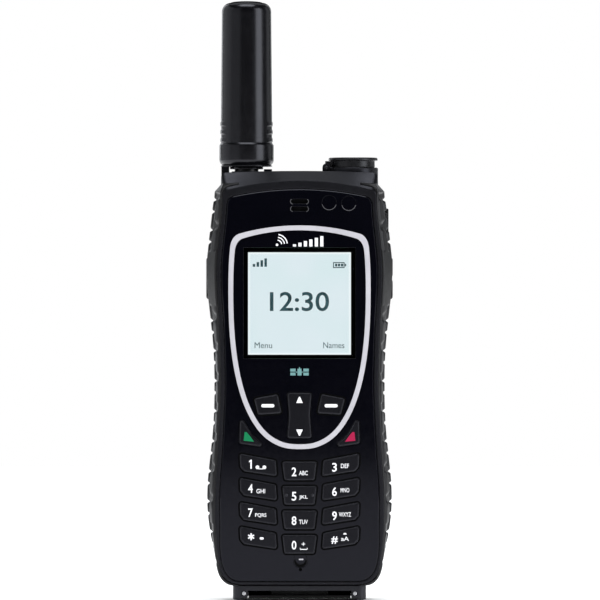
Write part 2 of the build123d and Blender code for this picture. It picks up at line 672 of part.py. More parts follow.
# ---------------------------------------------------------------- side keys
def side_key(side, z_low, z_high):
    """Domed key in a side zone; side is -1 on the left and 1 on the right."""
    y_front, y_back = SIDE_KEY_Y[0] + 0.25, SIDE_KEY_Y[1] - 0.25
    with BuildPart() as key:
        with BuildSketch(Plane.YZ.offset(side * SIDE_KEY_INNER)):
            with Locations(((y_front + y_back) / 2, (z_low + z_high) / 2)):
                RectangleRounded(y_back - y_front, z_high - z_low, 1.8)
        extrude(amount=side * (HALF_WIDTH - SIDE_KEY_INNER))
        fillet(key.faces().sort_by(Axis.X)[-1 if side > 0 else 0].edges(), 0.9)
    return key.part


zone_low, zone_high = SIDE_ZONE
zone_middle = (zone_low + zone_high) / 2
save(side_key(-1, zone_low + 0.1, zone_high - 0.1), "ptt_button")
save(side_key(1, zone_middle + 0.25, zone_high - 0.1), "volume_up")
save(side_key(1, zone_low + 0.1, zone_middle - 0.25), "volume_down")

# ---------------------------------------------------------------- headset socket
with BuildPart() as headset_jack:
    add(rod_x(JACK_Y, JACK_Z, JACK_R, 12.0, 26.6))
    add(rod_x(JACK_Y, JACK_Z, JACK_BORE_R, 14.6, 40.0), mode=Mode.SUBTRACT)
save(headset_jack.part, "headset_jack")

barrel_x, barrel_z = FLAP_X[1] - FLAP_BARREL_R, FLAP_Z[0] + FLAP_BARREL_R
with BuildPart() as headset_cover:
    add(block(FLAP_X, FLAP_Y, (barrel_z, FLAP_Z[1])))
    fillet(headset_cover.faces().sort_by(Axis.X)[-1].edges().sort_by(Axis.Z)[1:], 0.5)
    add(rod_y(barrel_x, barrel_z, FLAP_BARREL_R, *FLAP_Y))
save(headset_cover.part, "headset_cover")

# ---------------------------------------------------------------- bottom shoe and ports
with BuildPart() as base_shoe:
    add(block((-SHOE_X, SHOE_X), SHOE_Y, (0.0, SHOE_TOP)))
    fillet(base_shoe.edges().filter_by(Axis.Z), 2.5)
    add(block((-18.5, 18.5), (-20, 20), (-1, FOOT_RECESS)), mode=Mode.SUBTRACT)
    port_room = ((-PORT_WIDTH, PORT_WIDTH), (-20.0, PORT_HINGE[0] + 1.3), (-1, 2.8))
    add(block(*port_room), mode=Mode.SUBTRACT)
    add(block((-9.8, 9.8), (-8.4, -1.2), (0, 10)), mode=Mode.SUBTRACT)
    add(rod_x(*PORT_HINGE, HINGE_PIN_R, -HINGE_PIN_X, HINGE_PIN_X), mode=Mode.SUBTRACT)
    for x in LATCH_PIN_X:
        add(rod_y(x, LATCH_PIN_Z, LATCH_PIN_R + 0.02, -20, SHOE_Y[0] + 2.0), mode=Mode.SUBTRACT)
save(base_shoe.part, "base_shoe")

with BuildPart() as latch_pins:
    for x in LATCH_PIN_X:
        add(rod_y(x, LATCH_PIN_Z, LATCH_PIN_R, SHOE_Y[0] - 0.25, SHOE_Y[0] + 1.9))
save(latch_pins.part, "latch_pins")

plate_x = PORT_WIDTH - 0.3
with BuildPart() as port_cover:
    add(block((-plate_x, plate_x), (PORT_COVER_FRONT, PORT_HINGE[0]), (FOOT_RECESS + 0.05, 1.25)))
    add(rod_x(*PORT_HINGE, PORT_BARREL_R, -plate_x, plate_x))
    add(rod_x(*PORT_HINGE, HINGE_BORE_R, -30, 30), mode=Mode.SUBTRACT)
    add(block((-9.2, 9.2), (-7.6, -1.9), (1.25, 2.9)))
save(port_cover.part, "port_cover")

with BuildPart() as port_hinge_pin:
    add(rod_x(*PORT_HINGE, HINGE_PIN_R, -HINGE_PIN_X, HINGE_PIN_X))
save(port_hinge_pin.part, "port_hinge_pin")

with BuildPart() as usb_connector:
    add(block((-8.8, -0.6), (-7.0, -2.8), CONNECTOR_Z))
    add(block((-8.1, -1.3), (-6.4, -3.4), (0, 10.0)), mode=Mode.SUBTRACT)
    add(block((-7.1, -2.3), (-5.1, -4.7), (4.4, 10.5)))
save(usb_connector.part, "usb_connector")

with BuildPart() as power_jack:
    add(rod_z(*POWER_JACK, 2.1, *CONNECTOR_Z))
    add(rod_z(*POWER_JACK, 1.5, 0, 10.0), mode=Mode.SUBTRACT)
    add(rod_z(*POWER_JACK, 0.5, 4.4, 10.5))
save(power_jack.part, "power_jack")

# ---------------------------------------------------------------- battery
BATTERY_OUTLINE_FRONT = case_outline(-2.1, BATTERY_BOTTOM, 16.0, CASE_TOP, 135.6, 0.5)
BATTERY_OUTLINE_BACK = case_outline(-5.6, BATTERY_BOTTOM + 3.4, 14.0, CASE_TOP, 135.6, 0.5)
with BuildPart() as battery_pack:
    add(lofted([(SHELL_BACK - 0.9, BATTERY_OUTLINE_FRONT), (SHELL_BACK + 0.6, BATTERY_OUTLINE_FRONT),
                (BATTERY_BACK, BATTERY_OUTLINE_BACK)]))
    with BuildSketch(Plane.YZ.offset(-40)):
        with BuildLine():
            Polyline((0, BATTERY_TOP), (SHELL_BACK + 0.6, BATTERY_TOP), (BATTERY_BACK, BATTERY_TOP - 3.4),
                     (20, BATTERY_TOP - 3.4), (20, 200), (0, 200), close=True)
        make_face()
    extrude(amount=80, mode=Mode.SUBTRACT)
    add(block((-21.2, 21.2), (SHOULDER_BACK + 0.9, SHELL_BACK), (9.6, BATTERY_TOP - 1.6)))
    add(block((-3.4, 3.4), (SHELL_BACK - 0.8, SHELL_BACK + 1.0), (BATTERY_TOP - 2.2, 100)), mode=Mode.SUBTRACT)
save(battery_pack.part, "battery_pack")

with BuildPart() as battery_latch:
    add(block((-6.0, 6.0), (SHELL_BACK - 1.4, SHELL_BACK + 1.4), LATCH_Z))
    fillet(battery_latch.faces().sort_by(Axis.Y)[-1].edges(), 0.6)
    add(block((-3.0, 3.0), (SHELL_BACK - 0.6, SHELL_BACK + 0.4), (BATTERY_TOP - 2.0, LATCH_Z[0])))
save(battery_latch.part, "battery_latch")

# ---------------------------------------------------------------- screws
with BuildPart() as housing_screws:
    for x, z in SCREW_SPOTS:
        seat = screw_seat((x, z))
        add(rod_y(x, z, SCREW_HEAD_R, seat, seat + SCREW_HEAD))
        add(rod_y(x, z, SCREW_SHAFT_R, SCREW_END, seat))
        with BuildSketch(facing(seat + SCREW_HEAD)):
            with Locations((x, z)):
                RegularPolygon(0.95, 6)
        extrude(amount=0.7, mode=Mode.SUBTRACT)
save(housing_screws.part, "housing_screws")
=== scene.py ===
import json
from math import atan2, cos, pi, radians, sin

import bmesh
import bpy
import numpy as np
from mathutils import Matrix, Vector
from mathutils.geometry import convex_hull_2d
from mathutils.bvhtree import BVHTree

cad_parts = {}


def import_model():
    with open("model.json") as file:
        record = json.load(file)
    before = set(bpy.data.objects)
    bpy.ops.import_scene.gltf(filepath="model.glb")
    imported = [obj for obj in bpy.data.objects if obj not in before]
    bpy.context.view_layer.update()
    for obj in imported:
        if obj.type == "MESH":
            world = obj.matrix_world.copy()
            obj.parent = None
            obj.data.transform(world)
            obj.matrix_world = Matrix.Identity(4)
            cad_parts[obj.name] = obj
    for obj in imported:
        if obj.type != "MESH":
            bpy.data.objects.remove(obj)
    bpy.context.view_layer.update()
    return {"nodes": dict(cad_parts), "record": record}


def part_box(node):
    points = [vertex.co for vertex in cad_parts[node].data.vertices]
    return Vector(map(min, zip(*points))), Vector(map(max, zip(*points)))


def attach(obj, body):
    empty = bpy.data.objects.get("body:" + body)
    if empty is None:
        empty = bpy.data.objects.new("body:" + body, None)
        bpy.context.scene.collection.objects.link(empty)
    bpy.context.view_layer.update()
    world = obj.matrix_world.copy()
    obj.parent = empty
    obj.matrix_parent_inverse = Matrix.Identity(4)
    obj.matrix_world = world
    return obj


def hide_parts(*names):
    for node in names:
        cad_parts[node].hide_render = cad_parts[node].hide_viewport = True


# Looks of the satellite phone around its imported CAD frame. Lengths of the phone are millimetres here,
# turned into metres by MM where they reach Blender; the studio round it is laid out in metres.
# +X is right, +Y is the back, +Z is up.

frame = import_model()

MM = 0.001
SLOTS = {row["node"]: row["material_slot"] for row in frame["record"]["subparts"]}


def box_mm(node):
    """Low and high corners of a CAD node, in millimetres."""
    low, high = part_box(node)
    return low / MM, high / MM


def centre_mm(node):
    low, high = box_mm(node)
    return (low + high) / 2


# ------------------------------------------------------------------ materials
def start_material(name):
    """New node material: returns it, its nodes, its links and its shader."""
    material = bpy.data.materials.new(name)
    material.use_nodes = True
    tree = material.node_tree
    return material, tree.nodes, tree.links, tree.nodes["Principled BSDF"]


def millimetre_space(nodes, links, stretch=(1, 1, 1)):
    """Object coordinates in millimetres, stretched per axis."""
    where = nodes.new("ShaderNodeTexCoord")
    scale = nodes.new("ShaderNodeMapping")
    scale.inputs["Scale"].default_value = [part / MM for part in stretch]
    links.new(where.outputs["Object"], scale.inputs["Vector"])
    return scale.outputs["Vector"]


def noise(nodes, links, space, per_mm, detail=3.0, roughness=0.55):
    """Noise texture with features about 1/per_mm millimetres wide."""
    texture = nodes.new("ShaderNodeTexNoise")
    texture.inputs["Scale"].default_value = per_mm
    texture.inputs["Detail"].default_value = detail
    texture.inputs["Roughness"].default_value = roughness
    links.new(space, texture.inputs["Vector"])
    return texture.outputs["Fac"]


def remap(nodes, links, value, low, high, source=(0.3, 0.7)):
    """Value moved from the source range to low..high."""
    node = nodes.new("ShaderNodeMapRange")
    node.inputs["From Min"].default_value, node.inputs["From Max"].default_value = source
    node.inputs["To Min"].default_value, node.inputs["To Max"].default_value = low, high
    links.new(value, node.inputs["Value"])
    return node.outputs["Result"]


def two_tones(nodes, links, factor, first, second):
    """Colour between two tones."""
    mix = nodes.new("ShaderNodeMix")
    mix.data_type = "RGBA"
    mix.inputs["A"].default_value = (*first, 1)
    mix.inputs["B"].default_value = (*second, 1)
    links.new(factor, mix.inputs["Factor"])
    return mix.outputs["Result"]


def edge_mask(nodes, links, radius, floor=0.86):
    """1 on sharp edges and 0 on flat faces, from a rounded normal; also gives that normal."""
    bevel = nodes.new("ShaderNodeBevel")
    bevel.samples = 4
    bevel.inputs["Radius"].default_value = radius * MM
    shape = nodes.new("ShaderNodeNewGeometry")
    dot = nodes.new("ShaderNodeVectorMath")
    dot.operation = "DOT_PRODUCT"
    links.new(bevel.outputs["Normal"], dot.inputs[0])
    links.new(shape.outputs["Normal"], dot.inputs[1])
    return remap(nodes, links, dot.outputs["Value"], 1.0, 0.0, (floor, 0.995)), bevel.outputs["Normal"]


def finish_material(name, tone, second, rough, grain=(2.5, 0.012), blotch=0.12, edge=0.0, edge_wear_and_highlight=None,
                    specular=0.5, metallic=0.0, coat=0.0, stretch=(1, 1, 1), cool=0.0, sheen=0.0):
    """Moulded, painted or plated surface.

    tone and second are mixed by blotches (blotch is their number per mm), rough is the roughness range,
    grain is (features per mm, depth in mm), edge is the radius in mm that edges look rounded by, the
    argument after it is the lighter colour painted on those edges, partly wear and mostly painted highlight,
    stretch scales the pattern per axis, cool is how far the reflections lean to blue, and
    sheen is the soft glow at grazing angles.
    """
    material, nodes, links, shader = start_material(name)
    space = millimetre_space(nodes, links, stretch)
    blotches = remap(nodes, links, noise(nodes, links, space, blotch), 0, 1)
    colour = two_tones(nodes, links, blotches, tone, second)
    normal = None
    if edge:
        mask, normal = edge_mask(nodes, links, edge)
        # Edges lightened towards the edge colour: painted highlight, partly also wear.
        if edge_wear_and_highlight:
            mix = nodes.new("ShaderNodeMix")
            mix.data_type = "RGBA"
            mix.inputs["B"].default_value = (*edge_wear_and_highlight, 1)
            links.new(mask, mix.inputs["Factor"])
            links.new(colour, mix.inputs["A"])
            colour = mix.outputs["Result"]
    links.new(colour, shader.inputs["Base Color"])
    patches = noise(nodes, links, space, 0.45, 4.0, 0.6)
    links.new(remap(nodes, links, patches, *rough), shader.inputs["Roughness"])
    bump = nodes.new("ShaderNodeBump")
    bump.inputs["Strength"].default_value = 1.0
    bump.inputs["Distance"].default_value = grain[1] * MM
    links.new(noise(nodes, links, space, grain[0], 2.0), bump.inputs["Height"])
    if normal:
        links.new(normal, bump.inputs["Normal"])
    links.new(bump.outputs["Normal"], shader.inputs["Normal"])
    shader.inputs["Specular IOR Level"].default_value = specular
    shader.inputs["Metallic"].default_value = metallic
    shader.inputs["Coat Weight"].default_value = coat
    shader.inputs["Specular Tint"].default_value = (1 - cool, 1 - cool, 1, 1)
    shader.inputs["Sheen Weight"].default_value = sheen
    shader.inputs["Sheen Roughness"].default_value = 0.3
    return material


def screen_material(half_x, low_z, high_z):
    """Lit display: pale blue-green, brighter at its border, with the faint grid of its cells."""
    material, nodes, links, shader = start_material("lit_display")
    space = millimetre_space(nodes, links)
    split = nodes.new("ShaderNodeSeparateXYZ")
    links.new(space, split.inputs["Vector"])
    reach = []
    for axis, middle, half in (("X", 0.0, half_x), ("Z", (low_z + high_z) / 2, (high_z - low_z) / 2)):
        shift = nodes.new("ShaderNodeMath")
        shift.operation = "SUBTRACT"
        shift.inputs[1].default_value = middle
        links.new(split.outputs[axis], shift.inputs[0])
        size = nodes.new("ShaderNodeMath")
        size.operation = "ABSOLUTE"
        links.new(shift.outputs[0], size.inputs[0])
        away = nodes.new("ShaderNodeMath")
        away.operation = "SUBTRACT"
        away.inputs[1].default_value = half
        links.new(size.outputs[0], away.inputs[0])
        reach.append(away.outputs[0])
    nearest = nodes.new("ShaderNodeMath")
    nearest.operation = "MAXIMUM"
    links.new(reach[0], nearest.inputs[0])
    links.new(reach[1], nearest.inputs[1])
    border = remap(nodes, links, nearest.outputs[0], 0, 1, (-0.9, -0.3))
    cloud = remap(nodes, links, noise(nodes, links, space, 0.06, 1.0), 0, 1)
    body = two_tones(nodes, links, cloud, (0.70, 0.84, 0.86), (0.75, 0.85, 0.89))
    mix = nodes.new("ShaderNodeMix")
    mix.data_type = "RGBA"
    mix.inputs["B"].default_value = (0.88, 0.95, 0.97, 1)
    links.new(border, mix.inputs["Factor"])
    links.new(body, mix.inputs["A"])
    cells = nodes.new("ShaderNodeTexChecker")
    cells.inputs["Scale"].default_value = 4.0
    cells.inputs["Color1"].default_value = (1, 1, 1, 1)
    cells.inputs["Color2"].default_value = (0.985, 0.985, 0.985, 1)
    links.new(space, cells.inputs["Vector"])
    weave = nodes.new("ShaderNodeMix")
    weave.data_type = "RGBA"
    weave.blend_type = "MULTIPLY"
    weave.inputs["Factor"].default_value = 1.0
    links.new(mix.outputs["Result"], weave.inputs["A"])
    links.new(cells.outputs["Color"], weave.inputs["B"])
    lit = nodes.new("ShaderNodeMix")
    lit.data_type = "RGBA"
    lit.inputs["B"].default_value = (0.0, 0.0, 0.0, 1)
    links.new(remap(nodes, links, nearest.outputs[0], 0, 1, (-0.02, 0.02)), lit.inputs["Factor"])
    links.new(weave.outputs["Result"], lit.inputs["A"])
    links.new(lit.outputs["Result"], shader.inputs["Emission Color"])
    shader.inputs["Emission Strength"].default_value = 1.0
    shader.inputs["Base Color"].default_value = (0.001, 0.001, 0.0015, 1)
    shader.inputs["Specular IOR Level"].default_value = 0.0
    links.new(remap(nodes, links, noise(nodes, links, space, 0.8), 0.45, 0.6), shader.inputs["Roughness"])
    return material


def lens_material():
    """Clear window with the faintest uneven polish."""
    material, nodes, links, shader = start_material("clear_window")
    space = millimetre_space(nodes, links)
    tint = two_tones(nodes, links, noise(nodes, links, space, 0.1), (0.97, 0.99, 0.99), (0.99, 1.0, 1.0))
    links.new(tint, shader.inputs["Base Color"])
    links.new(remap(nodes, links, noise(nodes, links, space, 0.3), 0.01, 0.03), shader.inputs["Roughness"])
    shader.inputs["Transmission Weight"].default_value = 1.0
    shader.inputs["IOR"].default_value = 1.2
    return material


# The lighter edge colours below are painted highlight on the edges, with a little wear.
PLASTIC = finish_material("case_plastic", (0.0020, 0.0021, 0.0026), (0.0030, 0.0031, 0.0037), (0.28, 0.36),
                          grain=(3.2, 0.006), edge=0.45, edge_wear_and_highlight=(0.008, 0.008, 0.009), specular=0.3, cool=0.14)
GLOSS = finish_material("gloss_panel", (0.0012, 0.0013, 0.0026), (0.0016, 0.0016, 0.0031), (0.05, 0.09),
                        grain=(0.35, 0.0008), edge=0.2, edge_wear_and_highlight=(0.008, 0.008, 0.010), specular=0.19, cool=0.14)
# Base shoe: a lighter copy of the case plastic, painted light making up for the light the shoe gets too
# little of.
SHOE_PAINTED_LIGHT = finish_material("shoe_plastic_painted_light", (0.0085, 0.0085, 0.0102), (0.0105, 0.0105, 0.0125), (0.30, 0.38),
                       grain=(3.2, 0.006), edge=0.45, edge_wear_and_highlight=(0.018, 0.018, 0.020), specular=0.35, cool=0.1)
# Keys: their much lighter edge colour is painted highlight along the top edges.
KEY_PLASTIC = finish_material("key_plastic", (0.0020, 0.0020, 0.0028), (0.0028, 0.0028, 0.0038),
                              (0.20, 0.28),
                              grain=(3.5, 0.003), edge=0.5, edge_wear_and_highlight=(0.075, 0.075, 0.085), specular=0.22,
                              cool=0.14)
RUBBER = finish_material("grip_rubber", (0.0028, 0.0028, 0.0030), (0.0042, 0.0042, 0.0044), (0.34, 0.46),
                         grain=(4.0, 0.008), specular=0.42, cool=0.03, sheen=0.08)
SOFT_KEYS = finish_material("side_key_rubber", (0.0026, 0.0026, 0.0029),
                            (0.004, 0.004, 0.0043), (0.40, 0.52),
                            grain=(4.0, 0.008), edge=0.5, edge_wear_and_highlight=(0.010, 0.010, 0.0105), specular=0.2)
RADOME = finish_material("radome_plastic", (0.0012, 0.0012, 0.0018), (0.0018, 0.0018, 0.0025), (0.22, 0.27),
                         grain=(2.2, 0.0008), blotch=0.08, specular=0.45, cool=0.08)
CAP = finish_material("cap_plastic", (0.003, 0.0031, 0.0037), (0.0042, 0.0044, 0.0052), (0.26, 0.36),
                      grain=(3.0, 0.004), edge=0.25, edge_wear_and_highlight=(0.014, 0.014, 0.016), specular=0.4, cool=0.05)
RED = finish_material("red_button", (0.45, 0.016, 0.014), (0.55, 0.024, 0.018), (0.3, 0.42),
                      grain=(3.0, 0.006), edge=0.3, edge_wear_and_highlight=(0.62, 0.05, 0.04))
# Silver of the trim ring; also used as painted highlight at the microphone.
SILVER_TRIM_AND_HIGHLIGHT = finish_material("trim_silver_and_painted_highlight", (0.46, 0.45, 0.485), (0.52, 0.51, 0.545), (0.34, 0.44),
                         grain=(6.0, 0.003), metallic=0.15, edge=0.25, edge_wear_and_highlight=(0.60, 0.59, 0.62))
STEEL = finish_material("steel", (0.52, 0.53, 0.55), (0.62, 0.62, 0.64), (0.22, 0.38),
                        grain=(5.0, 0.004), metallic=1.0, edge=0.15, edge_wear_and_highlight=(0.8, 0.8, 0.82),
                        stretch=(1, 1, 0.2))
DARK_STEEL = finish_material("blackened_steel", (0.05, 0.05, 0.052), (0.08, 0.08, 0.082), (0.3, 0.45),
                             grain=(5.0, 0.004), metallic=1.0, edge=0.15, edge_wear_and_highlight=(0.25, 0.25, 0.26))
MAST = finish_material("mast_lacquer", (0.012, 0.012, 0.013), (0.02, 0.02, 0.021), (0.25, 0.36),
                       grain=(5.0, 0.004), metallic=0.4, edge=0.2, edge_wear_and_highlight=(0.05, 0.05, 0.052),
                       stretch=(1, 1, 0.1))
GOLD = finish_material("gold_plating", (0.72, 0.48, 0.16), (0.82, 0.58, 0.22), (0.2, 0.35),
                       grain=(5.0, 0.003), metallic=1.0, edge=0.15, edge_wear_and_highlight=(0.9, 0.7, 0.35))
SOCKET = finish_material("socket_plastic", (0.012, 0.012, 0.013), (0.02, 0.02, 0.021), (0.5, 0.62),
                         grain=(3.0, 0.01), edge=0.2, edge_wear_and_highlight=(0.03, 0.03, 0.031))
SEAL = finish_material("seal_rubber", (0.008, 0.008, 0.009), (0.012, 0.012, 0.013), (0.6, 0.75),
                       grain=(4.0, 0.02), edge=0.25, edge_wear_and_highlight=(0.02, 0.02, 0.021))
BOARD = finish_material("board_laminate", (0.012, 0.055, 0.024), (0.018, 0.075, 0.032), (0.35, 0.5),
                        grain=(2.0, 0.008), blotch=0.5, coat=0.2)
WHITE_INK = finish_material("white_ink", (0.80, 0.80, 0.82), (0.88, 0.88, 0.90),
                            (0.45, 0.6), grain=(6.0, 0.004))
GREEN_INK = finish_material("green_ink", (0.002, 0.15, 0.055), (0.004, 0.20, 0.075), (0.4, 0.55),
                            grain=(6.0, 0.004), specular=0.15)
RED_INK = finish_material("red_ink", (0.30, 0.006, 0.045), (0.37, 0.010, 0.06), (0.4, 0.55),
                          grain=(6.0, 0.004), specular=0.15)
TEAL_INK = finish_material("teal_ink", (0.10, 0.24, 0.24), (0.14, 0.30, 0.30),
                           (0.4, 0.55), grain=(6.0, 0.004))
# Grey ink: real print on the rating label, and painted highlight at the windows and earpiece slots.
GREY_INK_AND_HIGHLIGHT = finish_material("grey_ink_and_painted_highlight", (0.05, 0.05, 0.055), (0.07, 0.07, 0.075),
                          (0.4, 0.55), grain=(6.0, 0.004))
SCREEN_INK = finish_material("display_ink", (0.045, 0.10, 0.115), (0.06, 0.125, 0.14), (0.5, 0.6),
                             grain=(6.0, 0.002), specular=0.1)
# Near-black painted shade, laid in gaps and recesses where shade falls.
SHADOW = finish_material("painted_recess_shade", (0.0004, 0.0004, 0.0005), (0.0008, 0.0008, 0.0009), (0.8, 0.9),
                         grain=(4.0, 0.01), specular=0.1)
SLOT_DARK = finish_material("cover_rubber", (0.0016, 0.0016, 0.0018), (0.0024, 0.0024, 0.0027), (0.5, 0.62),
                            grain=(4.0, 0.01), edge=0.25, edge_wear_and_highlight=(0.006, 0.006, 0.0065), specular=0.2)
TEXTILE = finish_material("speaker_mesh", (0.0008, 0.0008, 0.001), (0.003, 0.003, 0.0035), (0.6, 0.8),
                          grain=(3.5, 0.05), blotch=4.0, specular=0.08)
LABEL = finish_material("rating_label", (0.035, 0.036, 0.038), (0.045, 0.046, 0.048),
                        (0.55, 0.7), grain=(5.0, 0.006))

lcd_low, lcd_high = box_mm("lcd_panel")
SCREEN_EDGE = 1.4  # dark border of the display panel at its sides and top
SCREEN_FOOT = 1.15
screen_half = lcd_high.x - SCREEN_EDGE
screen_low, screen_high = lcd_low.z + SCREEN_FOOT, lcd_high.z - SCREEN_EDGE

SLOT_FINISH = {
    "case": PLASTIC, "cap": CAP, "button": RED, "grip": RUBBER, "side_keys": SOFT_KEYS, "panel": GLOSS,
    "lens": lens_material(), "display": screen_material(screen_half, screen_low, screen_high),
    "trim": SILVER_TRIM_AND_HIGHLIGHT, "keys": KEY_PLASTIC, "antenna": RADOME, "mast": MAST, "seal": SEAL, "board": BOARD,
    "metal": STEEL, "contact": GOLD, "socket": SOCKET,
}
NODE_FINISH = {"fascia_windows": GLOSS, "port_cover": SLOT_DARK, "base_shoe": SHOE_PAINTED_LIGHT,
               "housing_screws": DARK_STEEL,
               "sos_hinge_pin": DARK_STEEL,
               "antenna_sleeve": PLASTIC, "earpiece": TEXTILE, "loudspeaker": TEXTILE}


def paint(piece, material):
    """Give the piece this material in every slot."""
    piece.data.materials.clear()
    piece.data.materials.append(material)
    for polygon in piece.data.polygons:
        polygon.material_index = 0


for name, node in frame["nodes"].items():
    material = NODE_FINISH.get(name, SLOT_FINISH[SLOTS[name]])
    if not node.material_slots:
        node.data.materials.append(material)
    for holder in node.material_slots:
        holder.link = "OBJECT"
        holder.material = material


# ------------------------------------------------------------------ building pieces
def new_piece(name, vertices, faces, material, body):
    """Mesh object from millimetre vertices, riding on a CAD body."""
    mesh = bpy.data.meshes.new(name)
    mesh.from_pydata([Vector(point) * MM for point in vertices], [], faces)
    mesh.validate()
    mesh.polygons.foreach_set("use_smooth", [True] * len(mesh.polygons))
    return place_piece(name, mesh, material, body)


# Where a point (u, v) of a plane goes, at a depth across it
PLANES = {
    "xz": lambda u, v, depth: (u, depth, v),
    "yz": lambda u, v, depth: (depth, u, v),
    "xy": lambda u, v, depth: (u, v, depth),
}


def slab_mesh(name, outlines, near, far, plane="xz"):
    """Closed mesh of flat outlines in one plane, between two depths across it."""
    shape = bmesh.new()
    place = PLANES[plane]
    for outline in outlines:
        front = [shape.verts.new(Vector(place(u, v, near)) * MM) for u, v in outline]
        back = [shape.verts.new(Vector(place(u, v, far)) * MM) for u, v in outline]
        shape.faces.new(front)
        shape.faces.new(list(reversed(back)))
        for here in range(len(outline)):
            after = (here + 1) % len(outline)
            shape.faces.new([front[here], back[here], back[after], front[after]])
    bmesh.ops.recalc_face_normals(shape, faces=shape.faces)
    mesh = bpy.data.meshes.new(name)
    shape.to_mesh(mesh)
    shape.free()
    return mesh


def place_piece(name, mesh, material, body):
    """Show a mesh as a piece that rides on a CAD body."""
    piece = bpy.data.objects.new(name, mesh)
    bpy.context.collection.objects.link(piece)
    paint(piece, material)
    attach(piece, body)
    return piece


def flat_shapes(name, outlines, near, far, material, body, plane="xz"):
    """Raised marks: closed outlines in a plane, standing from one depth to the other."""
    return place_piece(name, slab_mesh(name, outlines, near, far, plane), material, body)


WELD = 0.0005  # corners nearer than this are joined before a cut
SHARP_ANGLE = 28  # edges of a carved piece that turn by more degrees stay sharp
INK_RISE = 0.03  # how far printed and painted marks stand out of their surface, and reach into it


def carved(node, outlines, near, far, material, body, plane="xz"):
    """Piece with a CAD node's shape and these outlines cut into it, which stands for the node."""
    shape = bmesh.new()
    shape.from_mesh(frame["nodes"][node].data)
    bmesh.ops.remove_doubles(shape, verts=shape.verts, dist=WELD * MM)
    mesh = bpy.data.meshes.new(node + "_carved")
    shape.to_mesh(mesh)
    shape.free()
    blank = bpy.data.objects.new(node + "_blank", mesh)
    tool = bpy.data.objects.new(node + "_tool", slab_mesh(node + "_tool", outlines, near, far, plane))
    for holder in (blank, tool):
        bpy.context.collection.objects.link(holder)
    cut = blank.modifiers.new("cut", "BOOLEAN")
    cut.object = tool
    cut.operation = "DIFFERENCE"
    cut.solver = "EXACT"
    bpy.context.view_layer.update()
    result = bpy.data.meshes.new_from_object(blank.evaluated_get(bpy.context.evaluated_depsgraph_get()))
    for holder in (blank, tool):
        bpy.data.objects.remove(holder)
    result.polygons.foreach_set("use_smooth", [True] * len(result.polygons))
    result.set_sharp_from_angle(angle=radians(SHARP_ANGLE))
    piece = place_piece(node + "_carved", result, material, body)
    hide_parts(node)
    return piece


def stroke(points, width):
    """Outline of a line of this width through the points."""
    left, right = [], []
    for here, (x, z) in enumerate(points):
        before, after = points[max(here - 1, 0)], points[min(here + 1, len(points) - 1)]
        angle = atan2(after[1] - before[1], after[0] - before[0])
        shift = (-sin(angle) * width / 2, cos(angle) * width / 2)
        left.append((x + shift[0], z + shift[1]))
        right.append((x - shift[0], z - shift[1]))
    return left + right[::-1]


def arc(x, z, radius, start, end, steps=14):
    """Points of an arc between two angles in degrees."""
    turns = [radians(start + (end - start) * step / steps) for step in range(steps + 1)]
    return [(x + radius * cos(turn), z + radius * sin(turn)) for turn in turns]


def disc(x, z, radius):
    return arc(x, z, radius, 0, 345, 23)


def pill(x, z, width, height):
    """Rounded bar."""
    r = height / 2
    reach = width / 2 - r
    return arc(x + reach, z, r, -90, 90, 6) + arc(x - reach, z, r, 90, 270, 6)


def rectangle(x, z, width, height):
    w, h = width / 2, height / 2
    return [(x - w, z - h), (x + w, z - h), (x + w, z + h), (x - w, z + h)]


def lettering(name, text, x, z, width, height, y_face, material, body, slot, bold):
    """Raised characters fitted to a width and height in mm, centred at (x, z) on the face y_face.

    bold is how far the strokes are thickened, for characters about 1 unit tall.
    """
    curve = bpy.data.curves.new(name, "FONT")
    curve.body = text
    curve.extrude = 0.02  # any depth does, because the characters are fitted to INK_RISE below
    curve.offset = bold
    curve.resolution_u = 4
    holder = bpy.data.objects.new(name + "_text", curve)
    bpy.context.collection.objects.link(holder)
    bpy.context.view_layer.update()
    mesh = bpy.data.meshes.new_from_object(holder.evaluated_get(bpy.context.evaluated_depsgraph_get()))
    bpy.data.objects.remove(holder)
    points = np.array([vertex.co for vertex in mesh.vertices])
    low, high = points.min(axis=0), points.max(axis=0)
    middle = (low + high) / 2
    across = (points[:, 0] - middle[0]) * width / (high[0] - low[0])
    up = (points[:, 1] - middle[1]) * height / (high[1] - low[1])
    depth = y_face + INK_RISE - (points[:, 2] - low[2]) / (high[2] - low[2]) * 2 * INK_RISE
    placed = np.stack([x + across, depth, z + up], axis=1) * MM
    mesh.vertices.foreach_set("co", placed.astype(np.float32).ravel())
    mesh.update()
    return place_piece(name, mesh, material, body)


def marks(name, outlines, y_face, material, body):
    """Flat marks on a face that looks to the front: print, and also painted highlight and painted shade."""
    return flat_shapes(name, outlines, y_face - INK_RISE, y_face + INK_RISE, material, body)


def lathe(name, axis, profile, material, body, steps=128, limit=None):
    """Turned piece about a vertical axis, from a closed (radius, z) profile.

    limit, if given, is the largest radius at each turn, so that ribs can fade out round the side.
    """
    vertices, faces = [], []
    count = len(profile)
    for step in range(steps):
        turn = 2 * pi * step / steps
        widest = limit(turn) if limit else float("inf")
        for r, z in profile:
            r = min(r, widest)
            vertices.append((axis[0] + r * cos(turn), axis[1] + r * sin(turn), z))
    for step in range(steps):
        here, after = step * count, (step + 1) % steps * count
        for spot in range(count):
            nxt = (spot + 1) % count
            faces.append((here + spot, after + spot, after + nxt, here + nxt))
    return new_piece(name, vertices, faces, material, body)


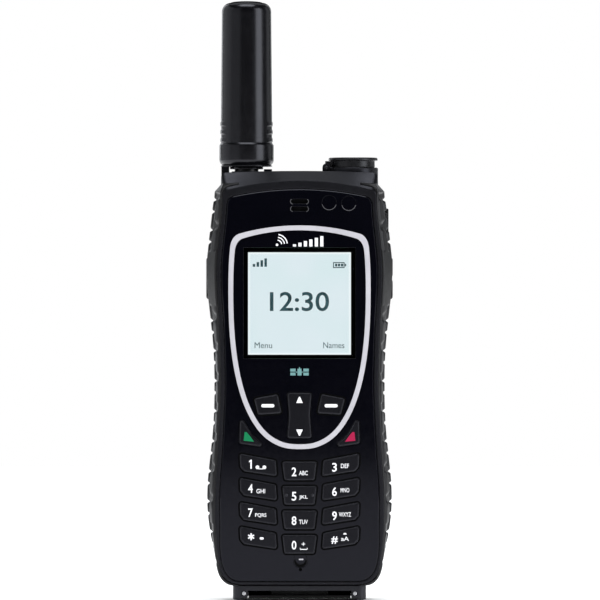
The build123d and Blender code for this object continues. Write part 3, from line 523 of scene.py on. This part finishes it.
def rounded_profile(corners, steps=5):
    """(radius, z) profile from (r, z, fillet) corners, with each fillet as an arc-like curve."""
    profile = []
    count = len(corners)
    for here, (r, z, fillet) in enumerate(corners):
        if not fillet:
            profile.append((r, z))
            continue
        point = Vector((r, z))
        before = Vector(corners[here - 1][:2])
        after = Vector(corners[(here + 1) % count][:2])
        start = point + (before - point).normalized() * fillet
        end = point + (after - point).normalized() * fillet
        for step in range(steps + 1):
            t = step / steps
            spot = (1 - t) ** 2 * start + 2 * t * (1 - t) * point + t ** 2 * end
            profile.append((spot.x, spot.y))
    return profile


# ------------------------------------------------------------------ rubber grips with their tread
TREAD_PITCH = 9.7
TREAD_DEPTH = 0.85
TREAD_BOTTOM = 10.5
SMOOTH_ZONE = (94.8, 111.4)
TREAD_TOP = 131.0
# Columns of pads round the side, front to back: (y, half width, half height, phase, roundness)
TREAD_COLUMNS = [
    (-10.1, 1.45, 4.15, 8.1, 3.4),
    (-7.0, 1.15, 1.75, 0.0, 2.0),
    (-4.6, 1.15, 2.9, 4.85, 2.6),
    (-2.0, 1.3, 1.75, 0.0, 2.0),
    (0.6, 1.15, 2.9, 4.85, 2.6),
    (3.1, 1.15, 1.75, 0.0, 2.0),
    (6.0, 1.4, 4.15, 8.1, 3.4),
]
PAD_EDGE = (0.72, 1.08)  # where a pad's edge starts and ends, as a share of its size
KNOB_Z = 19.7
TREAD_FADE = 0.8  # length over which the tread fades into the plain parts
PLAIN_FRONT = (-12.0, -11.7)
GRIP_STEP = 0.26  # spacing of the grip's mesh
GRID_INSET = 0.03
GRIP_WALL = 1.3
THIN_WALL = 0.1  # least wall, where the case leaves no room
CASE_GAP = 0.12
COVER_RANGE = (0.2, 4.0)  # rubber thickness over the case that counts as real
USUAL_COVER = 1.0
RAY_START = 40  # outside the phone
TOUCH = 0.01


def smooth(value, low, high):
    """Smooth step of value between low and high."""
    t = np.clip((value - low) / (high - low), 0, 1)
    return t * t * (3 - 2 * t)


def tread(y, z):
    """Height of the tread, 0 in its grooves and 1 on its pads and in the smooth zones."""
    height = np.zeros_like(y)
    for centre, half_y, half_z, phase, power in TREAD_COLUMNS:
        along = (z - KNOB_Z - phase + TREAD_PITCH / 2) % TREAD_PITCH - TREAD_PITCH / 2
        distance = (np.abs(along / half_z) ** power + np.abs((y - centre) / half_y) ** power) ** (1 / power)
        height = np.maximum(height, 1 - smooth(distance, *PAD_EDGE))
    low, high = SMOOTH_ZONE
    plain = smooth(z, low - TREAD_FADE, low) * (1 - smooth(z, high, high + TREAD_FADE))
    rise, drop = (smooth(z, edge - TREAD_FADE, edge) for edge in (TREAD_BOTTOM, TREAD_TOP))
    ends = 1 - rise * (1 - drop)
    front = 1 - smooth(y, *PLAIN_FRONT)
    return np.clip(height + plain + ends + front, 0, 1)


def surface_of(*nodes):
    """Ray-cast tree of CAD nodes at rest."""
    vertices, faces = [], []
    for name in nodes:
        mesh = frame["nodes"][name].data
        offset = len(vertices)
        vertices += [vertex.co.copy() for vertex in mesh.vertices]
        faces += [[offset + index for index in polygon.vertices] for polygon in mesh.polygons]
    return BVHTree.FromPolygons(vertices, faces)


def grid_lines(low, high, stops):
    """Evenly spaced values from low to high that also pass through each stop."""
    lines = [low]
    for end in sorted(stops) + [high]:
        start = lines[-1]
        count = max(1, round((end - start) / GRIP_STEP))
        lines += [start + (end - start) * step / count for step in range(1, count + 1)]
    return np.array(lines)


def grip(side, name, windows):
    """Treaded grip over a CAD grip; windows are (y low, y high, z low, z high) openings."""
    outer, case = surface_of(name), surface_of("front_cover", "rear_cover", "housing_gasket")
    low, high = box_mm(name)
    y_stops = [edge for window in windows for edge in window[:2]]
    z_stops = [edge for window in windows for edge in window[2:]]
    ys = grid_lines(low.y + GRID_INSET, high.y - GRID_INSET, y_stops)
    zs = grid_lines(low.z + GRID_INSET, high.z - GRID_INSET, z_stops)
    inward = Vector((-side, 0, 0))

    def reach(tree, y, z):
        hit = tree.ray_cast(Vector((side * RAY_START, y, z)) * MM, inward, RAY_START * MM)[0]
        return abs(hit.x) / MM if hit else None

    skin = np.full((len(ys), len(zs)), np.nan)
    hard = np.full((len(ys), len(zs)), np.nan)
    for i, y in enumerate(ys):
        for j, z in enumerate(zs):
            found = reach(outer, y, z)
            if found is not None:
                skin[i, j] = found
                hard[i, j] = reach(case, y, z) or 0.0
    y_grid, z_grid = np.meshgrid(ys, zs, indexing="ij")
    for y_low, y_high, z_low, z_high in windows:
        across = (y_grid > y_low - TOUCH) & (y_grid < y_high + TOUCH)
        along = (z_grid > z_low - TOUCH) & (z_grid < z_high + TOUCH)
        skin[across & along] = np.nan
    filled = skin.copy()
    for row in filled.T:
        known = ~np.isnan(row)
        if known.sum() > 1:
            row[:] = np.interp(ys, ys[known], row[known])
    open_cell = np.zeros((len(ys) - 1, len(zs) - 1), bool)
    y_mid, z_mid = (ys[:-1] + ys[1:]) / 2, (zs[:-1] + zs[1:]) / 2
    for y_low, y_high, z_low, z_high in windows:
        rows = (y_mid > y_low) & (y_mid < y_high)
        columns = (z_mid > z_low) & (z_mid < z_high)
        open_cell |= rows[:, None] & columns[None, :]
    open_cell |= np.isnan(filled[:-1, :-1]) | np.isnan(filled[1:, 1:])
    open_cell |= np.isnan(filled[1:, :-1]) | np.isnan(filled[:-1, 1:])
    inner = np.minimum(filled - GRIP_WALL, np.where(np.isnan(hard), np.inf, hard) - CASE_GAP)
    inner_edge = (low if side > 0 else high).x * side
    inner = np.maximum(inner, np.minimum(inner_edge, filled - THIN_WALL))
    odd = np.isnan(hard) | (hard > filled - COVER_RANGE[0]) | (hard < filled - COVER_RANGE[1])
    hard = np.where(odd, filled - USUAL_COVER, hard)
    depth = np.minimum(TREAD_DEPTH, np.maximum(filled - hard - CASE_GAP, 0.0))
    top = filled - depth * (1 - tread(y_grid, z_grid))

    vertices, faces = [], []
    spot = {}

    def corner(i, j, level):
        key = (i, j, level)
        if key not in spot:
            spot[key] = len(vertices)
            x = top[i, j] if level == 0 else inner[i, j]
            vertices.append((side * x, ys[i], zs[j]))
        return spot[key]

    shape = open_cell.shape
    for i in range(shape[0]):
        for j in range(shape[1]):
            if open_cell[i, j]:
                continue
            ring = [(i, j), (i + 1, j), (i + 1, j + 1), (i, j + 1)]
            if side < 0:
                ring.reverse()
            faces.append([corner(*point, 0) for point in ring])
            faces.append([corner(*point, 1) for point in reversed(ring)])
            neighbours = {((i, j), (i + 1, j)): (i, j - 1), ((i + 1, j), (i + 1, j + 1)): (i + 1, j),
                          ((i + 1, j + 1), (i, j + 1)): (i, j + 1), ((i, j + 1), (i, j)): (i - 1, j)}
            for (first, second), (a, b) in neighbours.items():
                if 0 <= a < shape[0] and 0 <= b < shape[1] and not open_cell[a, b]:
                    continue
                wall = [corner(*first, 0), corner(*first, 1), corner(*second, 1), corner(*second, 0)]
                if side < 0:
                    wall.reverse()
                faces.append(wall)
    piece = new_piece(name + "_tread", vertices, faces, RUBBER, "body")
    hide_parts(name)
    return piece


def window_round(nodes, gap):
    """Opening in a grip round these nodes: (y low, y high, z low, z high)."""
    boxes = [box_mm(node) for node in nodes]
    return (min(low.y for low, high in boxes) - gap, max(high.y for low, high in boxes) + gap,
            min(low.z for low, high in boxes) - gap, max(high.z for low, high in boxes) + gap)


KEY_ROOM, FLAP_ROOM = 0.25, 0.4  # gaps round the side keys and the headset cover
grip(-1, "left_grip", [window_round(["ptt_button"], KEY_ROOM)])
grip(1, "right_grip", [window_round(["volume_up", "volume_down"], KEY_ROOM),
                       window_round(["headset_cover"], FLAP_ROOM)])


# ------------------------------------------------------------------ antenna
BORE_GAP = 0.02  # between the mast and what sits on it
RIB_MIDDLE, RIB_PITCH, RIB_HALF, RIB_SLOPE = 150.3, 2.6, 0.75, 0.2
RIB_FADE = (0.78, 0.93)  # the ribs stand out only at the left and right
RIB_ZONE_TOP, SHOULDER_START = 154.6, 4.2
CROWN_R, CROWN_DROP, SHOULDER = 5.1, 0.55, 2.9
NECK_R, NECK_DROP = 5.35, 1.2
LEDGE_R, LEDGE_DROP = 8.25, 0.36
TURNS = 192


def antenna():
    """Radome with its grip ribs, and the collar below it."""
    low, high = box_mm("antenna_radome")
    axis = ((low.x + high.x) / 2, (low.y + high.y) / 2)
    wide = (high.x - low.x) / 2
    collar_low, collar_high = box_mm("antenna_collar")
    mast_r = (box_mm("antenna_mast")[1].x - box_mm("antenna_mast")[0].x) / 2
    tip, foot = wide - 0.5, wide - 0.2
    bore = mast_r + BORE_GAP
    corners = [(bore, low.z, 0), (foot, low.z, 0)]
    for step in (-1, 0, 1):
        z = RIB_MIDDLE + step * RIB_PITCH
        corners += [(foot, z - RIB_HALF, 0.12), (wide, z - RIB_HALF + RIB_SLOPE, 0.22),
                    (wide, z + RIB_HALF - RIB_SLOPE, 0.22), (foot, z + RIB_HALF, 0.12)]
    corners += [(foot, RIB_ZONE_TOP, 0), (tip, high.z - SHOULDER_START, 0)]
    dome = [(CROWN_R * sin(turn), high.z - CROWN_DROP * (1 - cos(turn)))
            for turn in (pi / 2 * step / 6 for step in range(5, 0, -1))]
    edge = [(tip - (tip - CROWN_R) * (1 - cos(turn)), high.z - CROWN_DROP - SHOULDER * (1 - sin(turn)))
            for turn in (pi / 2 * step / 8 for step in range(9))]
    corners += [(r, z, 0) for r, z in edge + dome]
    corners += [(0.01, high.z, 0), (0.01, high.z - 1.5, 0), (bore, high.z - 3.5, 0)]
    radome = lathe("radome", axis, rounded_profile(corners), RADOME, "antenna", TURNS,
                   lambda turn: foot + (wide - foot) * float(smooth(abs(cos(turn)), *RIB_FADE)))
    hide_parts("antenna_radome")
    r, base, top = (collar_high.x - collar_low.x) / 2, collar_low.z, collar_high.z
    corners = [(bore, base - NECK_DROP, 0), (NECK_R, base - NECK_DROP, 0.2), (NECK_R, base - LEDGE_DROP, 0),
               (LEDGE_R, base - LEDGE_DROP, 0.1), (LEDGE_R, base, 0), (r - 1.0, base, 0.3),
               (r, base + 1.0, 0.9), (r, top - 0.75, 0.25), (foot, top, 0.1), (foot - 0.3, top, 0),
               (bore, top, 0)]
    collar = lathe("collar", axis, rounded_profile(corners, 8), RADOME, "antenna", TURNS)
    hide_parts("antenna_collar")


CAP_SEAL_R = (5.7, 6.9)
CAP_SEAL_DROP = 3.2  # from the cap's top down to the ring


def cap_seal():
    """Rubber ring under the emergency cap."""
    button = centre_mm("sos_button")
    axis = (button.x, button.y)
    z = box_mm("sos_cover")[1].z - CAP_SEAL_DROP
    inner, outer = CAP_SEAL_R
    ring = [(inner, z + 0.02, 0), (outer, z + 0.02, 0.08), (outer, z + 0.3, 0), (inner, z + 0.3, 0)]
    lathe("cap_seal", axis, rounded_profile(ring), SEAL, "sos_cover", 96)


antenna()
cap_seal()


# ------------------------------------------------------------------ key legends
KEY_FACE = box_mm("key_1")[0].y
PANEL_FACE = box_mm("fascia")[0].y
KEY_NODES = [name for name, slot in SLOTS.items() if name.startswith("key_") and slot == "keys"]
KEY_NODES += ["softkey_left", "softkey_right"]
SHADE_LINE_REACH = (0.12, 0.5)  # near and far edge of the painted shade line round each key, from the key's edge
KEY_TOP_DEPTH = 0.2  # a key's corners further back than this behind the panel's face are hidden
LEGENDS = {
    "key_1": (None, None), "key_2": ("2", "ABC"), "key_3": ("3", "DEF"),
    "key_4": ("4", "GHI"), "key_5": ("5", "JKL"), "key_6": ("6", "MNO"),
    "key_7": ("7", "PQRS"), "key_8": ("8", "TUV"), "key_9": ("9", "WXYZ"),
    "key_star": (None, None), "key_0": ("0", "+"), "key_hash": ("#", "aA"),
}
DIGIT_SIZE = {"#": (2.1, 2.4)}
USUAL_DIGIT = (1.5, 2.8)
SMALL_SIZE = {"+": (1.1, 1.1), "aA": (2.5, 1.35), "PQRS": (3.6, 1.4), "WXYZ": (3.9, 1.4), "DEF": (2.6, 1.4)}
USUAL_LETTERS = (2.8, 1.4)
PLUS_LIFT = 0.75
MIDDLE_COLUMN = 5  # keys further than this from the middle are in the outer columns
# Offsets of the digit and of the letters from a key's centre, in the left, middle and right column
LEGEND_PLACES = [((-2.5, 0.25), (0.8, -0.6)), ((-1.75, -0.25), (1.25, -0.65)), ((-2.0, -0.75), (1.35, -0.3))]


def legends():
    """Digits and letters of the number keys."""
    for node, (digit, letters) in LEGENDS.items():
        centre = centre_mm(node)
        column = 1 + (centre.x > MIDDLE_COLUMN) - (centre.x < -MIDDLE_COLUMN)
        digit_at, letters_at = LEGEND_PLACES[column]
        if digit:
            wide, tall = DIGIT_SIZE.get(digit, USUAL_DIGIT)
            lettering(node + "_digit", digit, centre.x + digit_at[0], centre.z + digit_at[1], wide, tall,
                      KEY_FACE, WHITE_INK, node, "keys", bold=0.014)
        if letters:
            wide, tall = SMALL_SIZE.get(letters, USUAL_LETTERS)
            lift = PLUS_LIFT if letters == "+" else 0.0
            lettering(node + "_letters", letters, centre.x + letters_at[0], centre.z + letters_at[1] + lift,
                      wide, tall, KEY_FACE, WHITE_INK, node, "keys", bold=0.008)
    one, star, zero, pound = [centre_mm(node) for node in ("key_1", "key_star", "key_0", "key_hash")]
    x, z = one.x - 2.3, one.z + 0.25
    bar = [(x - 0.22, z - 1.45), (x + 0.22, z - 1.45), (x + 0.22, z + 1.45), (x - 0.1, z + 1.45),
           (x - 0.65, z + 0.95), (x - 0.65, z + 0.6), (x - 0.22, z + 0.85)]
    marks("key_1_digit", [bar], KEY_FACE, WHITE_INK, "key_1")
    x, z = star.x - 2.3, star.z + 0.35
    for number, turn in enumerate((90, 30, -30)):
        c, s = cos(radians(turn)), sin(radians(turn))
        arm = stroke([(x - 1.1 * c, z - 1.1 * s), (x + 1.1 * c, z + 1.1 * s)], 0.42)
        marks(f"key_star_arm_{number}", [arm], KEY_FACE - 0.002 * number, WHITE_INK, "key_star")
    reels = [disc(one.x + x, one.z - 0.75, 0.6) for x in (-0.25, 1.95)]
    reels.append(rectangle(one.x + 0.85, one.z - 1.25, 2.2, 0.24))
    marks("key_1_voicemail", reels, KEY_FACE, WHITE_INK, "key_1")
    dot = pill(star.x + 1.1, star.z - 0.2, 1.3, 0.75)
    marks("key_star_dot", [dot], KEY_FACE, WHITE_INK, "key_star")
    space = [(zero.x + 0.2, zero.z - 1.15), (zero.x + 0.3, zero.z - 1.6), (zero.x + 2.4, zero.z - 1.6),
             (zero.x + 2.5, zero.z - 1.15)]
    marks("key_0_space", [stroke(space, 0.26)], KEY_FACE, WHITE_INK, "key_0")
    shift = arc(pound.x + 1.35, pound.z + 1.05, 0.55, 0, 180, 10)
    marks("key_hash_shift", [shift], KEY_FACE, WHITE_INK, "key_hash")


DASH_SIZE, DASH_DROP = (4.2, 1.05), 0.35
ARROW_HALF, ARROW_TALL, ARROW_TIP = 1.05, 2.0, 0.15
ARROW_FROM_TOP, ARROW_FROM_FOOT = 1.7, 1.3
SIGN_X, SIGN_LIFT = 17.9, 2.15
# Sail-shaped sign of the call and end keys: (towards the middle, up) from its outer foot
SIGN_SHAPE = [(0.0, 0.2), (3.3, -0.1), (2.2, 1.5), (1.0, 2.95), (0.3, 3.0)]


def key_marks():
    """Signs on the soft keys, the navigation key and the call and end keys."""
    for node in ("softkey_left", "softkey_right"):
        centre = centre_mm(node)
        outline = pill(centre.x, centre.z - DASH_DROP, *DASH_SIZE)
        marks(node + "_dash", [outline], KEY_FACE, WHITE_INK, node)
    low, high = box_mm("nav_key")
    top, bottom = high.z - ARROW_FROM_TOP, low.z + ARROW_FROM_FOOT
    up = [(-ARROW_HALF, top - ARROW_TALL), (ARROW_HALF, top - ARROW_TALL), (ARROW_TIP, top),
          (-ARROW_TIP, top)]
    down = [(-ARROW_HALF, bottom + ARROW_TALL), (-ARROW_TIP, bottom), (ARROW_TIP, bottom),
            (ARROW_HALF, bottom + ARROW_TALL)]
    marks("nav_key_arrows", [up, down], KEY_FACE, WHITE_INK, "nav_key")
    for node, side, material in (("call_key", -1, GREEN_INK), ("end_key", 1, RED_INK)):
        foot = box_mm(node)[0].z + SIGN_LIFT
        sail = [(side * SIGN_X - side * x, foot + z) for x, z in SIGN_SHAPE]
        marks(node + "_sign", [sail], KEY_FACE, material, node)


def key_gap_shade():
    """Painted shade: a dark line on the panel round every key, where the gap round it lies in shade."""
    outlines = []
    for node in KEY_NODES:
        points = sorted({(round(vertex.co.x / MM, 2), round(vertex.co.z / MM, 2))
                         for vertex in frame["nodes"][node].data.vertices
                         if vertex.co.y / MM < PANEL_FACE + KEY_TOP_DEPTH})
        corners = [points[index] for index in convex_hull_2d(points)]
        count = len(corners)
        area = sum(corners[i][0] * corners[(i + 1) % count][1] - corners[(i + 1) % count][0] * corners[i][1]
                   for i in range(count))
        if area < 0:
            corners.reverse()
        rims = []
        for reach in SHADE_LINE_REACH:
            rim = []
            for here in range(count):
                before, point, after = (Vector(corners[(here + step) % count]) for step in (-1, 0, 1))
                first, second = (point - before).normalized(), (after - point).normalized()
                out = Vector((first.y + second.y, -first.x - second.x)).normalized()
                rim.append(tuple(point + out * reach))
            rims.append(rim)
        for here in range(count):
            after = (here + 1) % count
            outlines.append([rims[0][here], rims[0][after], rims[1][after], rims[1][here]])
    marks("key_gap_shade", outlines, PANEL_FACE, SHADOW, "body")


legends()
key_marks()
key_gap_shade()


# ------------------------------------------------------------------ front panel marks and display content
WAVES_AT, WAVE_RADII = (-7.2, 113.8), (1.5, 2.4, 3.3)
BARS_X, BARS_Z, BAR_PITCH = -1.6, 113.6, 1.75
SATELLITE_Z = 73.0
WINDOWS, WINDOW_R = ((9.5, 127.3), (15.8, 127.1)), 2.3
EARPIECE_SLOTS, SLOT_REACH, SLOT_HIGHLIGHT_R = (125.3, 127.7), 2.05, 0.85
RECESS_AT = (0.3, 12.4)
DISPLAY_GAP = 0.02  # how far the display's content stands before its panel
SIGNAL_X, BATTERY_X, ICONS_Z = -14.6, 12.6, 107.3
CLOCK_Z, MENU_Z = 95.6, 81.6


def panel_marks():
    """Generic signs on the front panel: radio waves above the display, a satellite below it."""
    waves = [disc(*WAVES_AT, 0.4)] + [stroke(arc(*WAVES_AT, radius, 8, 82), 0.34) for radius in WAVE_RADII]
    bars = [rectangle(BARS_X + BAR_PITCH * step, BARS_Z + 0.26 * step, 1.0, 0.7 + 0.52 * step)
            for step in range(6)]
    marks("signal_sign", waves + bars, PANEL_FACE, WHITE_INK, "body")
    z = SATELLITE_Z
    craft = [rectangle(0, z, 1.3, 2.2), rectangle(0, z + 1.3, 0.3, 0.5)]
    for side in (-1, 1):
        craft.append(rectangle(side * 0.9, z, 0.6, 0.3))
        craft += [rectangle(side * 2.1, z + row, 1.7, 0.95) for row in (-0.62, 0.62)]
    marks("satellite_sign", craft, PANEL_FACE, TEAL_INK, "body")
    # Painted highlights: grey arcs along the lower rims of the two windows.
    rim_highlights = [stroke(arc(x, z, WINDOW_R, 195, 345, 24), 0.22) for x, z in WINDOWS]
    marks("window_rim_highlights", rim_highlights, PANEL_FACE, GREY_INK_AND_HIGHLIGHT, "body")
    # Painted highlights: thin grey arcs round the ends of the earpiece slots.
    slot_highlights = []
    for slot_z in EARPIECE_SLOTS:
        for x, start, end in ((-SLOT_REACH, 120, 262), (SLOT_REACH, 60, -82)):
            slot_highlights.append(stroke(arc(x, slot_z, SLOT_HIGHLIGHT_R, start, end, 10), 0.2))
    marks("earpiece_highlights", slot_highlights, PANEL_FACE, GREY_INK_AND_HIGHLIGHT, "body")
    x, z = RECESS_AT
    # Painted shade: a dark crescent on the panel where the microphone's recess lies in shade.
    recess = arc(x, z, 2.0, 170, 370, 24) + arc(x, z + 0.45, 1.6, 365, 175, 24)
    marks("microphone_recess_shade", [recess], PANEL_FACE, SHADOW, "body")
    # Painted highlight: a small silver bar standing for the glint on the microphone recess's upper lip.
    marks("microphone_highlight", [pill(x + 0.2, z + 0.55, 1.5, 0.45)], PANEL_FACE, SILVER_TRIM_AND_HIGHLIGHT, "body")


def display_content():
    """Clock, signal and battery on the display, just in front of its panel."""
    face = lcd_low.y - DISPLAY_GAP
    where = (face, SCREEN_INK, "body", "display")
    lettering("display_clock", "12:30", 0.0, CLOCK_Z, 19.0, 6.2, *where, bold=0.012)
    x, z = BATTERY_X, ICONS_Z
    signal = [rectangle(SIGNAL_X + 1.25 * step, z - 0.1 + 0.3 * step, 0.8, 0.9 + 0.6 * step)
              for step in range(4)]
    cell = [rectangle(x, z + 0.8, 3.6, 0.28), rectangle(x, z - 0.8, 3.6, 0.28),
            rectangle(x - 1.7, z, 0.28, 1.8), rectangle(x + 1.7, z, 0.28, 1.8),
            rectangle(x + 2.15, z, 0.4, 0.8)]
    charge = [rectangle(x - 0.85 + 0.95 * step, z, 0.7, 0.9) for step in range(3)]
    flat_shapes("display_icons", signal + cell + charge, face - DISPLAY_GAP, face + DISPLAY_GAP,
                SCREEN_INK, "body")
    lettering("display_menu", "Menu", -11.6, MENU_Z, 5.6, 1.9, *where, bold=0.0)
    lettering("display_names", "Names", 11.0, MENU_Z, 6.8, 1.9, *where, bold=0.0)


panel_marks()
display_content()


# ------------------------------------------------------------------ carved keys, battery and headset flap
KEY_GROOVE, FLAP_GROOVE, BATTERY_GROOVE = 0.25, 0.2, 0.3
CLEAR = 1.0  # how far a cutter starts outside the piece
PLUS_HALF, PLUS_ARM = 1.6, 0.3


def side_controls():
    """Grip lines on the push-to-talk key, plus and minus on the volume keys, headset sign on the flap."""
    low, high = box_mm("ptt_button")
    y, z = (low.y + high.y) / 2, (low.z + high.z) / 2
    lines = [pill(y, z + 2.0 * step, 5.2, 0.7) for step in (-2, -1, 0, 1, 2)]
    carved("ptt_button", lines, low.x - CLEAR, low.x + KEY_GROOVE, SOFT_KEYS, "ptt_button", "yz")
    for node in ("volume_up", "volume_down"):
        low, high = box_mm(node)
        y, z = (low.y + high.y) / 2, (low.z + high.z) / 2
        sign = [rectangle(y, z, 3.2, 0.6)]
        if node == "volume_up":
            half, thin = PLUS_HALF, PLUS_ARM
            sign = [[(y - half, z - thin), (y - thin, z - thin), (y - thin, z - half), (y + thin, z - half),
                     (y + thin, z - thin), (y + half, z - thin), (y + half, z + thin), (y + thin, z + thin),
                     (y + thin, z + half), (y - thin, z + half), (y - thin, z + thin), (y - half, z + thin)]]
        carved(node, sign, high.x - KEY_GROOVE, high.x + CLEAR, SOFT_KEYS, node, "yz")
    low, high = box_mm("headset_cover")
    y, z = (low.y + high.y) / 2, (low.z + high.z) / 2 + 0.2
    headset = [stroke(arc(y, z - 0.3, 1.9, 0, 180, 20), 0.4), pill(y - 1.9, z - 1.0, 0.8, 0.8),
               pill(y + 1.9, z - 1.0, 0.8, 0.8)]
    carved("headset_cover", headset, high.x - FLAP_GROOVE, high.x + CLEAR,
           SOFT_KEYS, "headset_cover", "yz")


LABEL_SIZE, LABEL_MIDDLE = (27.0, 28.0), 38.0
LABEL_GAP, LABEL_SUNK, LABEL_THICK = 0.4, 0.1, 0.4
GROOVES_FROM_TOP, GROOVE_PITCH = 8.0, 2.4


def battery():
    """Finger grooves and a rating label with generic signs in the battery's back."""
    high = box_mm("battery_pack")[1]
    wide, tall = LABEL_SIZE
    middle = LABEL_MIDDLE
    grooves = [pill(0, high.z - GROOVES_FROM_TOP - GROOVE_PITCH * step, 22.0 - 1.6 * step, 1.1)
               for step in range(5)]
    recess = rectangle(0, middle, wide, tall)
    carved("battery_pack", grooves + [recess], high.y - BATTERY_GROOVE, high.y + CLEAR,
           PLASTIC, "body")
    plate_back = high.y - LABEL_SUNK
    flat_shapes("rating_label", [rectangle(0, middle, wide - LABEL_GAP, tall - LABEL_GAP)],
                plate_back - LABEL_THICK, plate_back, LABEL, "body")
    cell = [rectangle(-7.0, middle + 8.0, 6.0, 0.3), rectangle(-7.0, middle + 4.6, 6.0, 0.3),
            rectangle(-10.15, middle + 6.3, 0.3, 3.7), rectangle(-3.85, middle + 6.3, 0.3, 3.7),
            rectangle(-3.35, middle + 6.3, 0.7, 1.6), rectangle(-8.6, middle + 6.3, 1.4, 0.3),
            rectangle(-5.4, middle + 6.3, 1.4, 0.3), rectangle(-5.4, middle + 6.3, 0.3, 1.4)]
    lines = [rectangle(-1.0, middle + 1.0 - 1.7 * step, 19.0 - 2.3 * (step % 3), 0.3) for step in range(4)]
    bars = [rectangle(3.0 + 0.55 * step, middle + 6.3, 0.16 + 0.09 * (step * 5 % 3), 3.6)
            for step in range(12)]
    flat_shapes("label_print", cell + lines + bars, plate_back - INK_RISE, plate_back + INK_RISE,
                GREY_INK_AND_HIGHLIGHT, "body")


side_controls()
battery()


# ------------------------------------------------------------------ studio
LIGHT_TINT = (0.93, 0.96, 1.0)
GLOSS_WORLD = 0.015  # brightness of the surroundings in reflections
FLOOR_RADIUS, FLOOR_DROP = 1.75, 0.0004
AIM = (0, 0, 0.1)  # where every light points


def softbox(name, place, width, height, radiance):
    """Rectangular light that the camera can't see itself."""
    data = bpy.data.lights.new(name, "AREA")
    data.shape = "RECTANGLE"
    data.size, data.size_y = width, height
    data.energy = pi * width * height * radiance
    data.color = LIGHT_TINT
    light = bpy.data.objects.new(name, data)
    light.location = place
    light.rotation_euler = (Vector(AIM) - Vector(place)).to_track_quat("-Z", "Y").to_euler()
    light.visible_camera = False
    bpy.context.collection.objects.link(light)


def around(angle, distance, height):
    """Place at an angle round the phone: 0 is at the camera, 90 is to its right."""
    return (distance * sin(radians(angle)), -distance * cos(radians(angle)), height)


def world():
    """Even white surroundings, which glossy surfaces see as nearly dark."""
    surroundings = bpy.data.worlds.new("studio")
    bpy.context.scene.world = surroundings
    surroundings.use_nodes = True
    nodes, links = surroundings.node_tree.nodes, surroundings.node_tree.links
    background = nodes["Background"]
    path = nodes.new("ShaderNodeLightPath")
    level = nodes.new("ShaderNodeMapRange")
    level.inputs["To Min"].default_value = 1.0
    level.inputs["To Max"].default_value = GLOSS_WORLD
    links.new(path.outputs["Is Glossy Ray"], level.inputs["Value"])
    background.inputs["Color"].default_value = (1, 1, 1, 1)
    links.new(level.outputs["Result"], background.inputs["Strength"])


def floor():
    """Pale round floor under the phone."""
    material, nodes, links, shader = start_material("studio_floor")
    space = millimetre_space(nodes, links)
    tint = two_tones(nodes, links, noise(nodes, links, space, 0.01), (0.93, 0.93, 0.93), (0.95, 0.95, 0.95))
    links.new(tint, shader.inputs["Base Color"])
    shader.inputs["Roughness"].default_value = 0.9
    shader.inputs["Specular IOR Level"].default_value = 0.0
    mesh = bpy.data.meshes.new("floor")
    sides = 96
    turns = [2 * pi * step / sides for step in range(sides)]
    ring = [(FLOOR_RADIUS * cos(turn), FLOOR_RADIUS * sin(turn), -FLOOR_DROP) for turn in turns]
    mesh.from_pydata(ring, [], [list(range(sides))])
    piece = bpy.data.objects.new("floor", mesh)
    bpy.context.collection.objects.link(piece)
    mesh.materials.append(material)


def studio():
    """Softboxes round the phone: name, place, width, height, radiance."""
    world()
    floor()
    softbox("strip_front_right", around(60, 1.5, 0.3), 0.85, 1.6, 3.4)
    softbox("fill_left", around(-104, 1.2, 0.3), 1.3, 1.5, 0.62)
    softbox("fill_left_front", around(-52, 1.3, 0.3), 1.1, 1.5, 0.38)
    softbox("side_right", around(118, 1.3, 0.2), 0.6, 1.5, 0.5)
    softbox("rim_right", around(156, 1.3, 0.2), 0.35, 1.5, 0.9)
    softbox("rim_left", around(-152, 1.3, 0.2), 0.4, 1.5, 1.6)
    softbox("top_front", (0.0, -0.2, 1.3), 0.9, 0.6, 4.8)
    softbox("top_back", (0, 0.65, 1.2), 1.3, 0.7, 0.6)


CAMERA_DISTANCE = 2.2
FRAME_HEIGHT = 0.1935  # what the picture shows at the phone's distance
FRAME_MIDDLE = 0.0961
CAMERA_SHIFT = 0.00016  # the phone stands this far left of the picture's middle


def camera():
    """Long lens, level with the phone's middle."""
    data = bpy.data.cameras.new("camera")
    data.sensor_width = 36.0
    data.lens = data.sensor_width * CAMERA_DISTANCE / FRAME_HEIGHT
    data.clip_start, data.clip_end = 0.05, 20.0
    holder = bpy.data.objects.new("camera", data)
    holder.location = (CAMERA_SHIFT, -CAMERA_DISTANCE, FRAME_MIDDLE)
    holder.rotation_euler = (radians(90), 0, 0)
    bpy.context.collection.objects.link(holder)
    bpy.context.scene.camera = holder


studio()
camera()
bpy.context.scene.view_settings.view_transform = "Standard"
